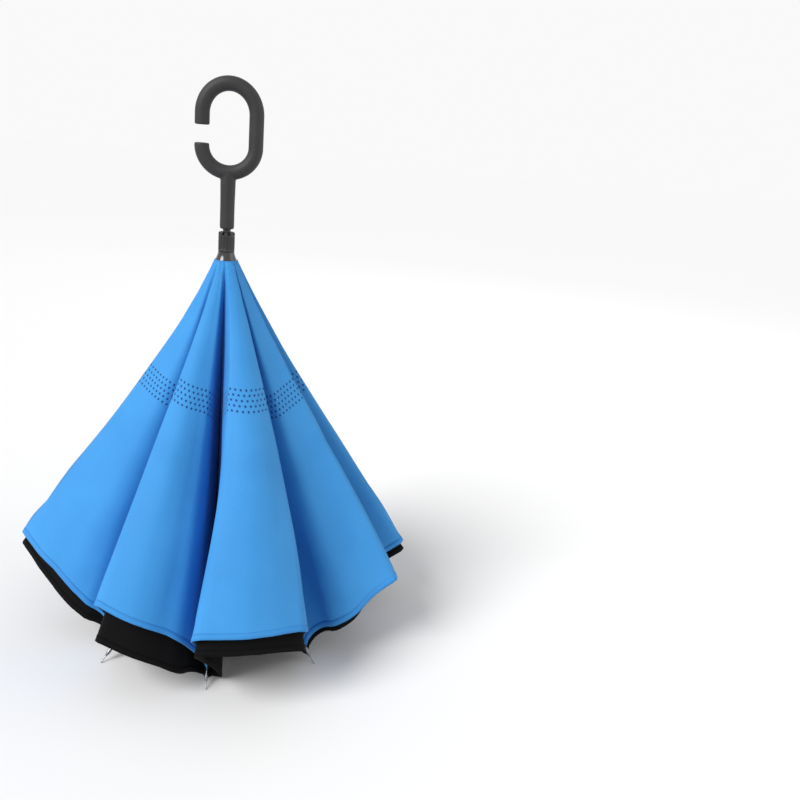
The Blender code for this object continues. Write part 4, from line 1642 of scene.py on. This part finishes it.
@dataclass
class Runner:
    """The sleeve with its toothed top and flutes, and the glossy skirt below it."""

    matt: bpy.types.Material
    gloss: bpy.types.Material
    teeth: int = 8
    tooth_depth: float = 0.0030
    tooth_gap_share: float = 0.42
    tooth_edge: float = 0.03
    teeth_from: float = 0.55
    flute_depth: float = 0.0007
    flutes: int = 16
    flute_share: float = 0.30
    flute_edge: float = 0.12
    flute_span: Point = (0.10, 0.80)
    flute_run_out: float = 0.05
    bore_radius: float = 0.0053
    foot: Outline = ((0.0004, 0.0), (0.0, 0.016))
    wall: Point = (0.03, 0.93)
    brim: Outline = ((0.0005, 0.985), (0.0010, 1.0))
    rows: int = 40
    sides: int = 256
    sharp: float = 40.0
    lip: Outline = ((0.0, 0.0007), (0.0003, 0.0), (0.0016, 0.0), (0.0019, 0.0020))
    skirt_steps: int = 14
    skirt_power: float = 1.6
    skirt_sides: int = 96

    def sleeve(self) -> bpy.types.Mesh:
        """The sleeve: one closed skin, with teeth and flutes shaped by its angle.

        Returns:
            The mesh.
        """
        low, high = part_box("runner_sleeve")
        radius, bore = high.x, self.bore_radius
        bm = bmesh.new()
        start, length = self.wall
        profile = [(bore, 0.0), *((radius - inset, share) for inset, share in self.foot)]
        profile += [(radius, start + length * i / self.rows) for i in range(self.rows + 1)]
        profile += [*((radius - inset, share) for inset, share in self.brim), (bore, 1.0)]
        loops = []
        for wide, share in profile:
            points = [self.sleeve_point(wide, share, angle, low.z, high.z) for angle in ring(self.sides)]
            loops.append([bm.verts.new(point) for point in points])
        join_loops(bm, loops + loops[:1])
        return smooth_mesh("sleeve", bm, self.sharp)

    def sleeve_point(self, radius: float, share: float, angle: float, low: float, high: float) -> Vector:
        """A point of the sleeve, lowered in the gaps between teeth and set back in the flutes.

        Args:
            radius: its distance from the axis.
            share: its share of the sleeve's height.
            angle: its angle round the axis.
            low: the sleeve's lowest height.
            high: its highest.

        Returns:
            The point.
        """
        turn = (angle * self.teeth / (2 * math.pi)) % 1.0
        gap = smoothstep((self.tooth_gap_share / 2 - abs(turn - 0.5)) / self.tooth_edge + 0.5)
        near_top = smoothstep((share - self.teeth_from) / (1 - self.teeth_from))
        height = share * (high - low - gap * self.tooth_depth * near_top)
        wave = (angle * self.flutes / (2 * math.pi)) % 1.0
        flute = smoothstep((self.flute_share - abs(wave - 0.5)) / self.flute_edge)
        start, end = self.flute_span
        span = smoothstep((share - start) / self.flute_run_out)
        span *= smoothstep((end - share) / self.flute_run_out)
        if radius > self.bore_radius:
            radius -= self.flute_depth * flute * span
        return around(angle, radius, low + height)

    def skirt(self) -> bpy.types.Mesh:
        """The skirt: a smooth flare with a rolled lip, open below.

        Returns:
            The mesh.
        """
        low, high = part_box("runner_skirt")
        wide, narrow = high.x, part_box("runner_sleeve")[1].x
        profile = [(self.bore_radius, high.z), (narrow, high.z)]
        for i in range(1, self.skirt_steps):
            share = i / self.skirt_steps
            flare = (wide - narrow) * share**self.skirt_power
            profile.append((narrow + flare, high.z - (high.z - low.z) * share))
        profile += [(wide - inset, low.z + rise) for inset, rise in self.lip]
        profile.append((self.bore_radius, profile[-1][1]))
        return turned("skirt", profile, self.skirt_sides)

    def build(self) -> None:
        """Builds both."""
        add_piece("runner_sleeve_grip", self.sleeve(), self.matt, "runner", "runner", "runner_sleeve")
        add_piece("runner_skirt_flare", self.skirt(), self.gloss, "gloss", "runner", "runner_skirt")
        LOG.info("runner")


@dataclass
class Tips:
    """The eight metal tips, each a socket, a bead, a taper and a thin pin."""

    material: bpy.types.Material
    socket_radius: float = 0.0024
    socket_length: float = 0.0105
    taper_length: float = 0.0035
    pin_radius: float = 0.0008
    pin_length: float = 0.0100
    bead: Outline = ((1.0, 0.82), (0.86, 0.86), (1.0, 0.92), (0.95, 1.0))
    taper_end: float = 1.25
    edge: float = 0.0003
    gap: float = 0.0003
    sides: int = 32

    def mesh(self) -> bpy.types.Mesh:
        """One tip, from the rib's end along -Z.

        Returns:
            The mesh.
        """
        wide, thin = self.socket_radius, self.pin_radius
        socket, taper = -self.socket_length, -self.socket_length - self.taper_length
        end = taper - self.pin_length
        profile = [(0.0, 0.0), (wide, 0.0)]
        profile += [(radius * wide, share * socket) for radius, share in self.bead]
        profile += [(self.taper_end * thin, taper), (thin, taper - thin), (thin, end), (0.0, end)]
        return turned("tip", rounded(profile, self.edge), self.sides)

    def build(self) -> None:
        """Puts one on each rib."""
        mesh = self.mesh()
        tilt = LINKAGE.rib_tilt(LINKAGE.rib_length)
        for number in range(1, LINKAGE.ribs + 1):
            end = LINKAGE.at(number, *LINKAGE.rib_point(LINKAGE.rib_length))
            down = LINKAGE.at(number, math.sin(tilt), -math.cos(tilt))
            turn = Vector((0, 0, -1)).rotation_difference(down).to_matrix().to_4x4()
            place = Matrix.Translation(end + self.gap * down) @ turn
            names = f"rib_{number}", f"tip_{number}"
            add_piece(f"rib_tip_{number}", mesh, self.material, "tip", *names, place)
        LOG.info("tips")


def dress_frame(fibre: bpy.types.Material, zinc: bpy.types.Material, matt: bpy.types.Material) -> None:
    """Gives each node of the frame that stays its own finish.

    Args:
        fibre: for the ribs.
        zinc: for stretchers, rivets and wires.
        matt: for the hubs.
    """
    kinds = {"rib_": fibre, "stretcher_": zinc, "rivet_": zinc}
    kinds |= {"notch_hub": matt, "runner_hub": matt, "notch_wire": zinc, "runner_wire": zinc}
    for name, node in frame["nodes"].items():
        for start, finish in kinds.items():
            if name.startswith(start):
                node.data.materials.clear()
                node.data.materials.append(finish)
    LOG.info("frame nodes")


@dataclass
class Studio:
    """A plain pale floor, soft lamps and the camera at the photograph's angle."""

    floor_size: float = 24.0
    floor_colour: Triple = (0.93, 0.93, 0.93)
    floor_shade: float = 0.99
    world_light: float = 0.47
    key_strength: float = 2.75
    key_width: float = 32.0
    key_place: Triple = (-2.1, -1.55, 2.1)
    fill_watts: float = 13.0
    fill_place: Triple = (2.5, -0.5, 1.2)
    back_watts: float = 4.0
    back_place: Triple = (0.8, 2.4, 1.9)
    lamp_size: float = 2.0
    lens: float = 40.5
    sensor: float = 36.0
    distance: float = 1.2636
    height_of_aim: float = 0.3261
    elevation: float = 18.0
    azimuth: float = 3.5
    camera_turn: float = 8.195
    camera_dip: float = -17.391
    camera_lean: float = 5.0

    @property
    def aim(self) -> Vector:
        """The point on the shaft's axis that the camera and the lamps stand round."""
        return Vector((0, 0, self.height_of_aim))

    def build(self) -> None:
        """Builds the studio."""
        self.add_floor()
        self.add_world()
        width = math.radians(self.key_width)
        self.add_lamp("Key", "SUN", self.key_place, Vector(), self.key_strength, angle=width)
        lamps = (("Fill", self.fill_place, self.fill_watts), ("Back", self.back_place, self.back_watts))
        for name, place, watts in lamps:
            self.add_lamp(name, "AREA", place, self.aim, watts, size=self.lamp_size)
        self.add_camera()
        bpy.context.scene.view_settings.view_transform = "Standard"
        LOG.info("studio")

    def add_floor(self) -> None:
        """Adds the floor."""
        bm = bmesh.new()
        bmesh.ops.create_grid(bm, x_segments=1, y_segments=1, size=self.floor_size / 2)
        mesh = bpy.data.meshes.new("floor")
        bm.to_mesh(mesh)
        bm.free()
        floor = place_object("floor", mesh)
        surface = Surface("Pale floor", Roughness=1.0, Specular_IOR_Level=0.0)
        tone = surface.noise(surface.add("TexCoord").outputs["Object"], size=0.6, detail=3.0)
        far = tuple(self.floor_shade * c for c in self.floor_colour)
        mesh.materials.append(surface.finish(Base_Color=surface.mix(tone, self.floor_colour, far)))

    def add_world(self) -> None:
        """Adds the light from all round, which camera and glossy rays see as the far floor."""
        world = bpy.data.worlds.new("Studio")
        bpy.context.scene.world = world
        world.use_nodes = True
        nodes = Nodes(world.node_tree)
        path = nodes.add("LightPath").outputs
        seen = path["Is Camera Ray"]
        for ray in ("Is Glossy Ray", "Is Transmission Ray"):
            seen = nodes.math("MAXIMUM", seen, path[ray])
        key = self.key_strength * Vector(self.key_place).normalized().z / math.pi
        far = (self.world_light + key) * self.floor_colour[0]
        level = nodes.add("MapRange", Value=seen, To_Min=self.world_light, To_Max=far)
        back = nodes.tree.nodes["Background"].inputs
        nodes.set(back["Color"], (1, 1, 1, 1))
        nodes.set(back["Strength"], level.outputs[0])

    def add_lamp(
        self, name: str, kind: str, place: Triple, aim: Vector, energy: float, **settings: float
    ) -> None:
        """Adds a lamp.

        Args:
            name: its name.
            kind: Blender's name for its kind.
            place: where it stands.
            aim: the point that it shines at.
            energy: its strength.
            settings: its other properties.
        """
        lamp = bpy.data.lights.new(name, kind)
        lamp.energy = energy
        for setting, value in settings.items():
            setattr(lamp, setting, value)
        holder = place_object(name, lamp)
        holder.location = place
        holder.rotation_euler = (aim - Vector(place)).to_track_quat("-Z", "Y").to_euler()

    def add_camera(self) -> None:
        """Adds the camera."""
        data = bpy.data.cameras.new("Camera")
        data.lens = self.lens
        data.sensor_width = self.sensor
        camera = place_object("Camera", data)
        up = math.radians(self.elevation)
        turn = math.radians(self.azimuth) - math.pi / 2
        camera.location = self.aim + self.distance * around(turn, math.cos(up), math.sin(up))
        level = Matrix.Rotation(-math.radians(self.camera_turn), 4, "Z")
        dip = Matrix.Rotation(math.radians(90 + self.camera_dip), 4, "X")
        lean = Matrix.Rotation(math.radians(self.camera_lean), 4, "Z")
        camera.rotation_euler = (level @ dip @ lean).to_euler()
        bpy.context.scene.camera = camera


def main() -> None:
    """Builds the umbrella's looks and the studio."""
    logging.basicConfig(level=logging.INFO, format="%(name)s: %(message)s")
    effects = Effects()
    blue, blue_hem, black = (finish.make(effects) for finish in (BLUE, BLUE_HEM, BLACK))
    grip, matt, gloss = (finish.make(effects) for finish in (GRIP, MATT, GLOSS))
    painted, zinc, fibre, nickel = (finish.make(effects) for finish in (PAINTED, ZINC, FIBRE, NICKEL))
    Studio().build()
    dress_frame(fibre, zinc, matt)
    Handle(grip).build()
    Shaft(painted, matt).build()
    Runner(matt, gloss).build()
    Tips(nickel).build()
    Canopy(blue, blue_hem, black).build()


if __name__ == "__main__":
    main()
